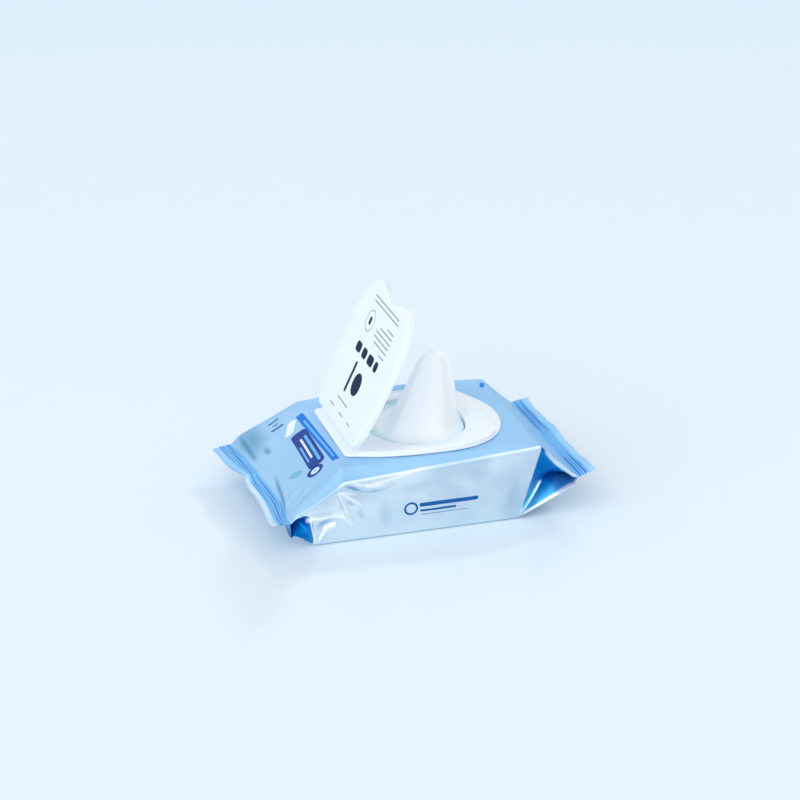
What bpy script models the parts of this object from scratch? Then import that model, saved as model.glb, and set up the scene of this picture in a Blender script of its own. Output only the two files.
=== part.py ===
# Pack of exfoliating pads: a foil pouch, a moulded flip-top cap and a stack of folded wet pads.
# Metres, +Z up. The origin is on the ground under the middle of the pack, +X runs along the pack
# to the cap's front, near is -Y and far is +Y, and the lid is drawn open by lid_open_deg.

import math

import bmesh
import bpy
import numpy as np

# Clearance between pieces that touch
seat_gap = 0.0003

# Pouch: body
pack_length = 0.2045          # between the cut edges of the two end seals
body_width = 0.110
body_height = 0.0446          # flat of the top film, which carries the cap
film_wall = 0.0008
right_overhang = 0.0463       # cut edge to the bottom's corner
left_overhang = 0.0355
right_top_overhang = 0.0330   # cut edge to the crease where the top film starts to fall
left_top_overhang = 0.0520
near_left_rise = -0.0066      # the top film's long edges, against its flat
near_right_rise = 0.0004
far_left_rise = -0.0004
far_right_rise = 0.0004
far_middle_rise = 0.0030
edge_radius = 0.0030
shoulder_reach = 0.0080       # from the top film's long edges to its flat
shoulder_bow = 0.72           # height kept half way down the shoulder, as a share
side_belly = 0.0012
bottom_inset = 0.0005         # each side of the underside, against the top
fin_width = 0.0100            # back seam, lying flat in the underside
fin_channel = 0.0012
fin_depth = 0.0005

# Pouch: end seals and gussets
seal_width = 0.0113
seal_length = 0.1170
seal_thickness = 0.0014
seal_ribs = 4
rib_depth = 0.0004
rib_start = 0.03              # where the ribs begin and end, as shares of the seal's width
rib_end = 0.60                # plain, looser film from there to the cut edge
right_seal_height = 0.0238    # inner line of each seal, half way across the pack
right_seal_rise = 0.0024      # from there to the cut edge
right_seal_tilt = 0.0
right_seal_twist = -0.0010
left_seal_height = 0.0212
left_seal_rise = -0.0032
left_seal_tilt = 0.0012       # how much higher its far end is than its middle
left_seal_twist = -0.0022     # what the far end gains on that from inner line to cut edge
left_seal_skew = 0.0050       # how much farther out its far end is than its middle
tuck_depth = 0.0200           # how far the gussets fold in at the seals
left_near_tuck = 0.0120       # the one that bulges out again, at the near left corner
top_fall_power = 0.95
bottom_lift_power = 1.12
cavity_reach = 0.72           # share of the way to each seal that the hollow goes
tooth_pitch = 0.0026
tooth_depth = 0.0011
cutter_margin = 0.0060

# Cap: base
cap_width = 0.0900
cap_front_x = 0.0600
cap_back_x = -0.0443
cap_widest_x = 0.0140
cap_back_reach = 0.0814       # half length of the long rear curve, which the straight back cuts off
cap_curve = 2.54
flange_thickness = 0.0011
flange_ledge = 0.0006
back_corner = 0.0050
platform_front_x = 0.0515
platform_height = 0.0023      # over the film's gap, at the front step
bead_width = 0.0014
bead_rise = 0.0007
bead_foot = 0.0008            # width of the slope on its inner side
front_bead_share = 0.15       # the part of its height that is left at the front
throat_x = 0.0080
throat_half_length = 0.0305
throat_half_width = 0.0362
lip_width = 0.0030
lip_drop = 0.0005
lip_round = 0.0006
edge_ease = 0.0002
step_ease = 0.0003
collar_wall = 0.0008
collar_depth = 0.0019
underside_relief = 0.0007
underside_margin = 0.0035
mouth_clearance = 0.0004      # hole in the film round the collar

# Cap: lid and hinge
hinge_x = -0.0370
hinge_lip = 0.0004
hinge_width = 0.0560
hinge_film = 0.0005
hinge_half_gap = 0.00012
lid_open_deg = 64.7
lid_set_back = 0.0001
lid_wall = 0.0012
lid_depth = 0.0043
lid_front_x = 0.0497
lid_scallop = 0.0050
lid_scallop_width = 0.0520
lid_corner = 0.0065
lid_edge_round = 0.0006
ring_wall = 0.0010
ring_reach = 0.0008           # how far the ring dips into the throat when shut
ring_clearance = 0.0006
catch_width = 0.0120
catch_thickness = 0.0014
catch_rise = 0.0016
catch_clearance = 0.0006
catch_root = 0.0008
catch_round = 0.0004

# Pads
pad_count = 28
pad_thickness = 0.00095
pad_side_room = 0.0042
pad_front_room = 0.0060         # bottom corner to the stack's front end
pad_back_overlap = 0.0020       # how far the stack's back end passes under the falling top film
pad_slit = 0.00016

# Raised pad, drawn up through the throat
lead_height = 0.0907
lead_wall = 0.0009
lead_back_room = 0.0082       # its foot to the throat's edge
lead_front_room = 0.0038
lead_half_width = 0.0190
lead_narrowing = 0.64         # share of its width that is lost on the way up
lead_lean = 0.0278            # how far its back leans to the front
lead_lean_power = 0.87
lead_front_draw = 0.0053
lead_tip_share = 0.2          # the part of its height that is rounded off
lead_tip_back = 0.0047
lead_tip_front = 0.0057
lead_tip_narrowing = 0.44
lead_flutes = 7
lead_flute_steps = 8
lead_flute_depth = 0.0012
lead_flute_twist = 1.7

# Levels worked out from the sizes above
film_level = body_height
flange_bottom = film_level + seat_gap
flange_top = flange_bottom + flange_thickness
platform_top = flange_bottom + platform_height
bead_top = platform_top + bead_rise
skirt_bottom = bead_top + seat_gap
hinge_z = bead_top + 0.5 * seat_gap
lid_top = skirt_bottom + lid_depth
lid_under = lid_top - lid_wall
throat_level = platform_top - lip_drop
pad_pitch = pad_thickness + seat_gap
stack_bottom = film_wall + seat_gap
stack_top = stack_bottom + pad_count * pad_pitch
right_bottom_x = pack_length / 2 - right_overhang
left_bottom_x = -pack_length / 2 + left_overhang
right_top_x = pack_length / 2 - right_top_overhang
left_top_x = -pack_length / 2 + left_top_overhang
pad_width = body_width - 2 * (film_wall + pad_side_room)
pad_low_x = left_top_x - pad_back_overlap
pad_high_x = right_bottom_x - pad_front_room
pad_centre_x = (pad_low_x + pad_high_x) / 2
lid_back_x = hinge_x + hinge_lip + lid_set_back
lead_foot = stack_top + seat_gap
ring_segments = 64


def clear_scene():
    for obj in list(bpy.data.objects):
        bpy.data.objects.remove(obj, do_unlink=True)


def make_collection(name):
    collection = bpy.data.collections.new(name)
    bpy.context.scene.collection.children.link(collection)
    return collection


def make_material(name, colour, roughness, metallic=0.0):
    material = bpy.data.materials.new(name)
    material.use_nodes = True
    shader = material.node_tree.nodes["Principled BSDF"]
    shader.inputs["Base Color"].default_value = (*colour, 1.0)
    shader.inputs["Roughness"].default_value = roughness
    shader.inputs["Metallic"].default_value = metallic
    return material


def add_object(name, bm, collection, material=None, smooth_deg=None):
    bmesh.ops.recalc_face_normals(bm, faces=bm.faces)
    mesh = bpy.data.meshes.new(name)
    bm.to_mesh(mesh)
    bm.free()
    if material:
        mesh.materials.append(material)
    obj = bpy.data.objects.new(name, mesh)
    collection.objects.link(obj)
    if smooth_deg:
        mesh.shade_smooth()
        mesh.set_sharp_from_angle(angle=math.radians(smooth_deg))
    return obj


def hide_cutter(obj):
    obj.hide_render = True
    obj.display_type = "WIRE"


def add_boolean(obj, other, operation):
    modifier = obj.modifiers.new(operation.title() + " " + other.name, "BOOLEAN")
    modifier.object = other
    modifier.operation = operation
    modifier.solver = "EXACT"


# Lofts: rows of points joined into skins

def loft_rows(bm, rows, close_ring=True, cap_ends=False, close_rows=False):
    verts = [[bm.verts.new(point) for point in row] for row in rows]
    count = len(rows[0])
    last = len(rows) if close_rows else len(rows) - 1
    for i in range(last):
        row = verts[i]
        after = verts[(i + 1) % len(rows)]
        for j in range(count if close_ring else count - 1):
            k = (j + 1) % count
            bm.faces.new((row[j], row[k], after[k], after[j]))
    if cap_ends:
        bm.faces.new(verts[0])
        bm.faces.new(list(reversed(verts[-1])))
    return verts


def smooth_step(t):
    t = min(max(t, 0.0), 1.0)
    return t * t * (3 - 2 * t)


# Pouch sections: half an outline from the underside's middle round to the top's middle

def half_section(station, edge_z, tuck, wall=0.0, with_fin=True):
    """Points (x, y, z) of the half whose top edge is at edge_z; wall draws the outline inwards."""
    bottom_z = station["bottom_z"] + wall
    bottom_half = station["bottom_half"] - wall
    top_half = station["top_half"] - wall
    crown_z = station["crown"] - wall
    edge_z -= wall
    radius = min(edge_radius, 0.3 * (edge_z - bottom_z))
    points = [(0.0, bottom_z)]
    if with_fin:
        depth = fin_depth * station["fin"]
        half = fin_width / 2
        points += [(half, bottom_z), (half, bottom_z + depth)]
        points += [(half + fin_channel, bottom_z + depth), (half + fin_channel, bottom_z)]
    points.append((0.5 * (bottom_half + fin_width / 2 + fin_channel), bottom_z))
    for step in range(3):
        a = math.radians(-90 + 45 * step)
        points.append((bottom_half - radius + radius * math.cos(a), bottom_z + radius + radius * math.sin(a)))
    low, high = bottom_z + radius, edge_z - radius
    for f in (0.25, 0.5, 0.75):
        fold = 1 - abs(2 * f - 1)
        side = bottom_half + (top_half - bottom_half) * f
        side += side_belly * station["belly"] * fold
        points.append((side - tuck * fold, low + (high - low) * f))
    for step in range(3):
        a = math.radians(45 * step)
        points.append((top_half - radius + radius * math.cos(a), edge_z - radius + radius * math.sin(a)))
    shoulder = top_half * (1 - 2 * shoulder_reach / body_width)
    points.append((0.5 * (shoulder + top_half - radius), edge_z + shoulder_bow * (crown_z - edge_z)))
    points += [(shoulder, crown_z), (0.5 * shoulder, crown_z), (0.0, crown_z)]
    span = max(min(edge_z, crown_z) - bottom_z, 1e-6)
    result = []
    for y, z in points:
        share = min(max((z - bottom_z) / span, 0.0), 1.0)
        x = station["bottom_x"] + (station["top_x"] - station["bottom_x"]) * share
        result.append([x, y, z])
    return result


def full_section(station, wall=0.0, with_fin=True):
    """The far half and the near half, with the skew and tilt of the seals added across the pack."""
    far = half_section(station, station["far_edge"], station["far_tuck"], wall, with_fin)
    near = half_section(station, station["near_edge"], station["near_tuck"], wall, with_fin)
    ring = far + [[x, -y, z] for x, y, z in near[-2:0:-1]]
    for point in ring:
        across = point[1] / (seal_length / 2)
        point[0] -= station["skew"] * across
        point[2] += station["tilt"] * across
    return ring


def body_station(t):
    """A section of the full body, from the crease at its left end (t = 0) to the one at its right."""
    bulge = far_middle_rise * math.sin(math.pi * t)
    return {
        "bottom_x": left_bottom_x + (right_bottom_x - left_bottom_x) * t,
        "bottom_z": 0.0,
        "bottom_half": body_width / 2 - bottom_inset,
        "top_x": left_top_x + (right_top_x - left_top_x) * t,
        "top_half": body_width / 2,
        "crown": film_level,
        "near_edge": film_level + near_left_rise + (near_right_rise - near_left_rise) * t,
        "far_edge": film_level + far_left_rise + (far_right_rise - far_left_rise) * t + bulge,
        "near_tuck": 0.0,
        "far_tuck": 0.0,
        "belly": math.sin(math.pi * t),
        "fin": 1.0,
        "skew": 0.0,
        "tilt": 0.0,
    }


def end_station(u, side):
    """A section between the body's end (u = 0) and the seal's inner line (u = 1)."""
    start = body_station(1.0 if side > 0 else 0.0)
    seal_z = right_seal_height if side > 0 else left_seal_height
    seal_x = side * (pack_length / 2 - seal_width)
    if side < 0:
        seal_x += left_seal_skew
    low_z = seal_z - seal_thickness / 2
    high_z = seal_z + seal_thickness / 2
    fall = u ** top_fall_power
    station = dict(start)
    station["bottom_x"] += (seal_x - start["bottom_x"]) * u
    station["bottom_z"] += low_z * u ** bottom_lift_power
    station["bottom_half"] += (seal_length / 2 - start["bottom_half"]) * u
    station["top_x"] += (seal_x - start["top_x"]) * u
    station["top_half"] += (seal_length / 2 - start["top_half"]) * u
    for level in ("crown", "near_edge", "far_edge"):
        station[level] += (high_z - start[level]) * fall
    if u < 1:
        station["near_tuck"] = (tuck_depth if side > 0 else left_near_tuck) * u
        station["far_tuck"] = tuck_depth * u
    station["belly"] = 0.0
    station["fin"] = 1 - u
    station["skew"] = left_seal_skew * u if side < 0 else 0.0
    station["tilt"] = (right_seal_tilt if side > 0 else left_seal_tilt) * u
    return station


def seal_station(s, thickness, side):
    """A section across the flat end seal; s runs from its inner line to its cut edge."""
    station = end_station(1.0, side)
    rise = right_seal_rise if side > 0 else left_seal_rise
    twist = right_seal_twist if side > 0 else left_seal_twist
    z = (right_seal_height if side > 0 else left_seal_height) + rise * s
    station["bottom_x"] += side * seal_width * s
    station["top_x"] = station["bottom_x"]
    station["bottom_z"] = z - thickness / 2
    for level in ("crown", "near_edge", "far_edge"):
        station[level] = z + thickness / 2
    station["tilt"] += twist * s
    return station


def seal_stations(side):
    rows = []
    for rib in range(seal_ribs):
        for part, thickness in ((0.0, seal_thickness - rib_depth), (0.5, seal_thickness)):
            s = rib_start + (rib_end - rib_start) * (rib + part) / seal_ribs
            rows.append(seal_station(s, thickness, side))
    for s in (rib_end, 1.0):
        rows.append(seal_station(s, seal_thickness - rib_depth, side))
    return rows


def cavity_section(station):
    """The hollow's outline: one film wall inside the pouch's, and clear of the tucked gussets."""
    station = dict(station)
    tuck = max(station["near_tuck"], station["far_tuck"])
    narrow = tuck + (0.5 * film_wall if tuck else 0.0)
    station["bottom_half"] -= narrow
    station["top_half"] -= narrow
    station["near_tuck"] = station["far_tuck"] = 0.0
    return full_section(station, wall=film_wall, with_fin=False)


def build_pouch(parts, cutters, material):
    end_steps = (0.25, 0.5, 0.75, 0.93, 1.0)
    stations = list(reversed(seal_stations(-1)))
    stations += [end_station(u, -1) for u in reversed(end_steps)]
    stations += [body_station(t) for t in np.linspace(0, 1, 7)]
    stations += [end_station(u, 1) for u in end_steps]
    stations += seal_stations(1)
    bm = bmesh.new()
    loft_rows(bm, [full_section(s) for s in stations], cap_ends=True)
    pouch = add_object("pouch", bm, parts, material, smooth_deg=35)

    half_reach = 0.55 * cavity_reach
    stations = [end_station(u, -1) for u in (cavity_reach, half_reach)]
    stations += [body_station(t) for t in np.linspace(0, 1, 5)]
    stations += [end_station(u, 1) for u in (half_reach, cavity_reach)]
    bm = bmesh.new()
    loft_rows(bm, [cavity_section(s) for s in stations], cap_ends=True)
    cavity = add_object("pouch_cavity", bm, cutters)
    hide_cutter(cavity)
    add_boolean(pouch, cavity, "DIFFERENCE")

    grow = collar_wall + mouth_clearance
    bm = bmesh.new()
    rows = [throat_ring(grow, film_level - 3 * film_wall), throat_ring(grow, film_level + film_wall)]
    loft_rows(bm, rows, cap_ends=True)
    mouth = add_object("pouch_mouth", bm, cutters)
    hide_cutter(mouth)
    add_boolean(pouch, mouth, "DIFFERENCE")

    for side in (-1, 1):
        add_boolean(pouch, seal_teeth(side, cutters), "DIFFERENCE")


def seal_teeth(side, cutters):
    """A saw-edged block that trims one end seal to a row of small teeth."""
    half = seal_length / 2
    count = round(seal_length / tooth_pitch)
    skew = left_seal_skew if side < 0 else 0.0
    edge = []
    for i in range(2 * count + 1):
        y = -half + half * i / count
        depth = tooth_depth if i % 2 else 0.0
        edge.append((side * (pack_length / 2 - depth) + skew * (1 - y / half), y))
    first, last = edge[0], edge[-1]
    outer = side * (pack_length / 2 + cutter_margin)
    outline = [(first[0], first[1] - cutter_margin)] + edge + [(last[0], last[1] + cutter_margin)]
    outline += [(outer, last[1] + cutter_margin), (outer, first[1] - cutter_margin)]
    z = (right_seal_height + right_seal_rise) if side > 0 else (left_seal_height + left_seal_rise)
    bm = bmesh.new()
    rows = [[(x, y, z - cutter_margin) for x, y in outline], [(x, y, z + cutter_margin) for x, y in outline]]
    loft_rows(bm, rows, cap_ends=True)
    teeth = add_object("teeth_right" if side > 0 else "teeth_left", bm, cutters)
    hide_cutter(teeth)
    return teeth


# Cap outlines

def egg_half_width(x):
    """Half width of the cap at x: a super-ellipse to the front and a longer one to the back."""
    reach = (cap_front_x - cap_widest_x) if x > cap_widest_x else cap_back_reach
    share = min(abs(x - cap_widest_x) / reach, 1.0)
    return 0.5 * cap_width * math.sqrt(max(1 - share ** cap_curve, 0.0))


def bend(a, corner, b, steps=5):
    """Quadratic curve from a to b pulled towards corner."""
    points = []
    for i in range(steps + 1):
        t = i / steps
        points.append(tuple((1 - t) ** 2 * a[k] + 2 * t * (1 - t) * corner[k] + t * t * b[k] for k in range(2)))
    return points


def close_mirror(half):
    """Adds the other half of an outline that runs from the back's middle to the front's middle."""
    return half + [(x, -y) for x, y in reversed(half) if abs(y) > 1e-7]


def flange_outline():
    half = [(cap_back_x, 0.0)]
    width = egg_half_width(cap_back_x + back_corner)
    half += bend((cap_back_x, width - back_corner), (cap_back_x, width), (cap_back_x + back_corner, width))
    for t in np.linspace(0, 1, 26)[1:]:
        x = cap_back_x + back_corner + (cap_front_x - cap_back_x - back_corner) * math.sin(t * math.pi / 2)
        half.append((x, egg_half_width(x)))
    half[-1] = (cap_front_x, 0.0)
    return close_mirror(half)


def capped_outline(back_x, front_x, inset, back_round, front_round, scallop=0.0):
    """The cap's outline cut straight at the back and front, with rounded corners."""
    half = [(back_x, 0.0)]
    back_half = egg_half_width(back_x + back_round) - inset
    half += bend((back_x, back_half - back_round), (back_x, back_half), (back_x + back_round, back_half))
    side_end = front_x - front_round
    for t in np.linspace(0, 1, 18)[1:-1]:
        x = back_x + back_round + (side_end - back_x - back_round) * t
        half.append((x, egg_half_width(x) - inset))
    front_half = egg_half_width(front_x) - inset
    a = (side_end, egg_half_width(side_end) - inset)
    b = (front_x, front_half - front_round)
    half += bend(a, (front_x, front_half), b)
    if scallop:
        for t in np.linspace(1, 0, 8)[1:]:
            y = b[1] * t
            hollow = 0.5 * (1 + math.cos(math.pi * min(abs(y) / (lid_scallop_width / 2), 1.0)))
            half.append((front_x - scallop * hollow, y))
    else:
        half.append((front_x, 0.0))
    return close_mirror(half)


def radial(outline, angle):
    """Distance from the throat's centre to an outline, in the direction of angle."""
    dx, dy = math.cos(angle), math.sin(angle)
    best = 0.0
    for i, (x0, y0) in enumerate(outline):
        x1, y1 = outline[(i + 1) % len(outline)]
        ex, ey = x1 - x0, y1 - y0
        cross = dx * ey - dy * ex
        if abs(cross) < 1e-15:
            continue
        px, py = x0 - throat_x, y0
        t = (px * ey - py * ex) / cross
        s = (px * dy - py * dx) / cross
        if t > 0 and -1e-9 <= s <= 1 + 1e-9:
            best = max(best, t)
    return best


def ring_angles():
    """Evenly spread directions round the throat's centre, shared by all of the cap's rings."""
    return [2 * math.pi * (i + 0.5) / ring_segments for i in range(ring_segments)]


def throat_radius(angle, grow):
    a = throat_half_length + grow
    b = throat_half_width + grow
    return a * b / math.hypot(b * math.cos(angle), a * math.sin(angle))


def throat_ring(grow, z):
    ring = []
    for angle in ring_angles():
        r = throat_radius(angle, grow)
        ring.append((throat_x + r * math.cos(angle), r * math.sin(angle), z))
    return ring


def outline_ring(outline, inset, z):
    ring = []
    for angle in ring_angles():
        r = radial(outline, angle) - inset
        ring.append((throat_x + r * math.cos(angle), r * math.sin(angle), z))
    return ring


def platform_outline():
    return capped_outline(hinge_x + hinge_lip, platform_front_x, flange_ledge, back_corner, back_corner)


def bead_ring(outline, inset):
    """The bead stands on the platform's sides and back and dies away at its front."""
    fade_x = platform_front_x - 2 * bead_width
    low = platform_top + front_bead_share * bead_rise
    return [(x, y, z if x < fade_x else low) for x, y, z in outline_ring(outline, inset, bead_top)]


def build_base(parts, cutters, material):
    """Flange, platform, bead, throat, collar and underside are one closed loft of rings."""
    flange = flange_outline()
    platform = platform_outline()
    collar_bottom = flange_bottom - collar_depth
    relief_top = flange_bottom + underside_relief
    rows = [
        outline_ring(flange, 0.0, flange_bottom),
        outline_ring(flange, 0.0, flange_top - edge_ease),
        outline_ring(flange, edge_ease, flange_top),
        outline_ring(platform, 0.0, flange_top),
        outline_ring(platform, 0.0, platform_top - step_ease),
        bead_ring(platform, edge_ease),
        bead_ring(platform, bead_width),
        outline_ring(platform, bead_width + bead_foot, platform_top),
        throat_ring(lip_width, throat_level),
        throat_ring(lip_round, throat_level - 0.5 * edge_ease),
        throat_ring(0.0, throat_level - lip_round),
        throat_ring(0.0, collar_bottom),
        throat_ring(collar_wall, collar_bottom),
        throat_ring(collar_wall, flange_bottom),
        throat_ring(underside_margin, flange_bottom),
        throat_ring(underside_margin + edge_ease, relief_top),
        outline_ring(platform, underside_margin + edge_ease, relief_top),
        outline_ring(platform, underside_margin, flange_bottom),
    ]
    bm = bmesh.new()
    loft_rows(bm, rows, close_rows=True)
    base = add_object("lid_base", bm, parts, material, smooth_deg=35)

    web = add_block(
        "base_hinge_half",
        (hinge_x + hinge_half_gap, -hinge_width / 2, bead_top - hinge_film),
        (hinge_x + hinge_lip + bead_width / 2, hinge_width / 2, bead_top),
        cutters,
    )
    add_boolean(base, web, "UNION")
    catch_front = lid_front_x - lid_scallop - lid_wall - catch_clearance
    lug = add_block(
        "base_catch",
        (catch_front - catch_thickness, -catch_width / 2, platform_top - catch_root),
        (catch_front, catch_width / 2, platform_top + catch_rise),
        cutters,
        bevel=catch_round,
    )
    add_boolean(base, lug, "UNION")


def add_block(name, low, high, collection, bevel=0.0):
    bm = bmesh.new()
    bmesh.ops.create_cube(bm, size=1.0)
    for vert in bm.verts:
        for k in range(3):
            vert.co[k] = low[k] + (high[k] - low[k]) * (vert.co[k] + 0.5)
    obj = add_object(name, bm, collection)
    if bevel:
        modifier = obj.modifiers.new("Rounded edges", "BEVEL")
        modifier.width = bevel
        modifier.segments = 2
    hide_cutter(obj)
    return obj


def build_lid(parts, cutters, material):
    """Drawn shut in the hinge's own frame: a plate with a skirt, a sealing ring and half the hinge."""
    outline = capped_outline(lid_back_x, lid_front_x, flange_ledge, back_corner, lid_corner, lid_scallop)
    bm = bmesh.new()
    top = [bm.verts.new((x - hinge_x, y, lid_top - hinge_z)) for x, y in outline]
    low = [bm.verts.new((x - hinge_x, y, skirt_bottom - hinge_z)) for x, y in outline]
    bm.faces.new(top)
    for i in range(len(outline)):
        k = (i + 1) % len(outline)
        bm.faces.new((top[i], low[i], low[k], top[k]))
    lid = add_object("lid", bm, parts, material, smooth_deg=35)
    rounding = lid.modifiers.new("Rounded rim", "BEVEL")
    rounding.width = lid_edge_round
    rounding.segments = 2
    rounding.limit_method = "ANGLE"
    rounding.angle_limit = math.radians(60)
    shell = lid.modifiers.new("Wall", "SOLIDIFY")
    shell.thickness = lid_wall
    shell.offset = -1
    shell.use_even_offset = True

    ring_outer = -ring_clearance
    ring_inner = ring_outer - ring_wall
    ring_low = throat_level - ring_reach - hinge_z
    ring_high = lid_under + 0.5 * lid_wall - hinge_z
    rows = []
    for grow, z in ((ring_outer, ring_high), (ring_outer, ring_low), (ring_inner, ring_low), (ring_inner, ring_high)):
        rows.append([(x - hinge_x, y, z) for x, y, _ in throat_ring(grow, z)])
    bm = bmesh.new()
    loft_rows(bm, rows, close_rows=True)
    ring = add_object("lid_ring", bm, cutters)
    hide_cutter(ring)
    add_boolean(lid, ring, "UNION")

    web = add_block(
        "lid_hinge_half",
        (hinge_half_gap, -hinge_width / 2, skirt_bottom - hinge_z),
        (lid_back_x - hinge_x + 0.5 * lid_wall, hinge_width / 2, skirt_bottom - hinge_z + hinge_film),
        cutters,
    )
    add_boolean(lid, web, "UNION")
    for obj in (lid, ring, web):
        obj.location = (hinge_x, 0.0, hinge_z)
        obj.rotation_euler = (0.0, -math.radians(lid_open_deg), 0.0)


# Pads

def pad_outline():
    """Side view of a sheet folded once: round at the fold, with a slit between its two halves."""
    thick = pad_thickness
    middle = thick / 2
    half_slit = pad_slit / 2
    fold = [(math.cos(a), math.sin(a)) for a in np.radians((-90, -45, 0, 45, 90))]
    outline = [(pad_low_x, 0.0)]
    outline += [(pad_high_x - middle + middle * c, middle + middle * s) for c, s in fold]
    outline += [(pad_low_x, thick), (pad_low_x, middle + half_slit)]
    outline += [(pad_high_x - thick, middle + half_slit), (pad_high_x - thick, middle - half_slit)]
    outline.append((pad_low_x, middle - half_slit))
    return outline


def build_pads(parts, material):
    """Folded sheets lying on each other, with their folds to either end in turn."""
    meshes = []
    for turned in (False, True):
        outline = pad_outline()
        if turned:
            outline = [(2 * pad_centre_x - x, z) for x, z in outline]
        bm = bmesh.new()
        rows = [[(x, y, z) for x, z in outline] for y in (-pad_width / 2, pad_width / 2)]
        loft_rows(bm, rows, cap_ends=True)
        bmesh.ops.recalc_face_normals(bm, faces=bm.faces)
        mesh = bpy.data.meshes.new("folded_pad_turned" if turned else "folded_pad")
        bm.to_mesh(mesh)
        bm.free()
        mesh.materials.append(material)
        meshes.append(mesh)
    for i in range(pad_count):
        pad = bpy.data.objects.new(f"pad_{i + 1:02d}", meshes[i % 2])
        pad.location = (0.0, 0.0, stack_bottom + i * pad_pitch)
        parts.objects.link(pad)


def lead_row(share, z, inset):
    """One ring of the raised pad: wide at the stack, leaning to the front, with a blunt round tip."""
    tip = max(share - 1 + lead_tip_share, 0.0) / lead_tip_share
    back = throat_x - throat_half_length + lead_back_room
    back += lead_lean * share ** lead_lean_power + lead_tip_back * tip ** 3
    front = throat_x + throat_half_length - lead_front_room
    front -= lead_front_draw * share ** 2 + lead_tip_front * tip ** 2
    half_x = (front - back) / 2
    half_y = lead_half_width * (1 - lead_narrowing * smooth_step(share)) * (1 - lead_tip_narrowing * tip ** 2)
    swell = lead_flute_depth * math.sin(math.pi * (0.15 + 0.7 * share))
    ring = []
    for i in range(lead_flute_steps * lead_flutes):
        angle = 2 * math.pi * i / (lead_flute_steps * lead_flutes)
        reach = swell * math.cos(lead_flutes * angle + lead_flute_twist * share) - inset
        x = (back + front) / 2 + (half_x + reach) * math.cos(angle)
        y = (half_y + reach) * math.sin(angle)
        ring.append((x, y, z))
    return ring


def build_lead_pad(parts, material):
    """The top pad, drawn up through the throat in a tall soft cone that is hollow below."""
    shares = (0.0, 0.1, 0.22, 0.36, 0.52, 0.68, 0.82, 0.93, 1.0)
    height = lead_height - lead_foot
    outer = [lead_row(s, lead_foot + height * s, 0.0) for s in shares]
    inner = [lead_row(s, lead_foot + height * s, lead_wall) for s in shares[:-1]]
    inner[-1] = [(x, y, z - lead_wall) for x, y, z in inner[-1]]
    bm = bmesh.new()
    outside = loft_rows(bm, outer)
    inside = loft_rows(bm, inner)
    bm.faces.new(outside[-1])
    bm.faces.new(inside[-1])
    count = len(outer[0])
    for j in range(count):
        k = (j + 1) % count
        bm.faces.new((outside[0][j], outside[0][k], inside[0][k], inside[0][j]))
    add_object("lead_pad", bm, parts, material, smooth_deg=60)


def main():
    clear_scene()
    parts = make_collection("pad_pack")
    cutters = make_collection("cutters")
    foil = make_material("blue_foil", (0.35, 0.62, 0.90), 0.32, 0.55)
    plastic = make_material("white_plastic", (0.88, 0.91, 0.93), 0.35)
    cloth = make_material("wet_cloth", (0.86, 0.90, 0.92), 0.60)
    build_pouch(parts, cutters, foil)
    build_base(parts, cutters, plastic)
    build_lid(parts, cutters, plastic)
    build_pads(parts, cloth)
    build_lead_pad(parts, cloth)


main()
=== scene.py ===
# Pack of exfoliating pads: a foil pouch with a moulded flip-top cap, open, and its first pad drawn up
import math
from functools import reduce

import bpy
import numpy as np
from mathutils import Matrix


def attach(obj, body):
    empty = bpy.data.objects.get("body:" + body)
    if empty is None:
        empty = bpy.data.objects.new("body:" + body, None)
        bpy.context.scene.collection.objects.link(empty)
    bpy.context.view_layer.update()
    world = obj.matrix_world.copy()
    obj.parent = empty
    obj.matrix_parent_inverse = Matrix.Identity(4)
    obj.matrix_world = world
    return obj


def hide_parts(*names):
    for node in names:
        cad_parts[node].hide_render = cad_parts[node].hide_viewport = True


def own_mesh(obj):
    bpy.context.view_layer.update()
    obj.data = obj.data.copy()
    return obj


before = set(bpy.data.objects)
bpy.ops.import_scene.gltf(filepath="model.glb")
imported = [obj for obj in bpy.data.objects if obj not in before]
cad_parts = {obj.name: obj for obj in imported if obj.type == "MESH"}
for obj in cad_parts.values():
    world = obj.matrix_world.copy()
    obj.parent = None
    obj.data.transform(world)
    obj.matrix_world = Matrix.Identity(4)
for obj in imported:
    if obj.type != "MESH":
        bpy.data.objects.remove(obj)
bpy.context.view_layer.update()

mm = 0.001          # shapes are worked out in millimetres


# Numbers and shapes

def smooth(t):
    # 0 up to t = 0, 1 from t = 1, and an S between them
    t = np.clip(t, 0.0, 1.0)
    return t * t * (3 - 2 * t)


def hump(t):
    # 1 at t = 0, falling smoothly to 0 at t = -1 and t = 1
    return smooth(1 - np.abs(t))


def tent(t):
    # 1 at t = 0, falling in straight lines to 0, with a barely rounded ridge: how foil creases
    return np.clip(1 - np.sqrt(t * t + 0.02), 0.0, 1.0)


def alongLine(x, y, start, end):
    # share of the way from start to end, and distance from the line between them with its side
    runX, runY = end[0] - start[0], end[1] - start[1]
    length = math.hypot(runX, runY)
    share = ((x - start[0]) * runX + (y - start[1]) * runY) / length ** 2
    away = ((y - start[1]) * runX - (x - start[0]) * runY) / length
    return share, away


def fold(x, y, start, end, width, height, profile=hump, fade=0.35):
    # a ridge of that height along a line, which dies away over the fade share at both ends
    share, away = alongLine(x, y, start, end)
    ends = smooth((share + fade / 2) / fade) * smooth((1 + fade / 2 - share) / fade)
    return height * profile(away / width) * ends


def gridFaces(rows, columns, closeRows=False, closeColumns=False):
    # the four corners of every face of a grid whose points are counted row by row
    i = np.arange(rows if closeRows else rows - 1)[:, None]
    j = np.arange(columns if closeColumns else columns - 1)[None, :]
    nextI, nextJ = (i + 1) % rows, (j + 1) % columns
    corners = [i * columns + j, i * columns + nextJ, nextI * columns + nextJ, nextI * columns + j]
    return np.stack([c + 0 * i + 0 * j for c in corners], axis=-1).reshape(-1, 4)


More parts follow.
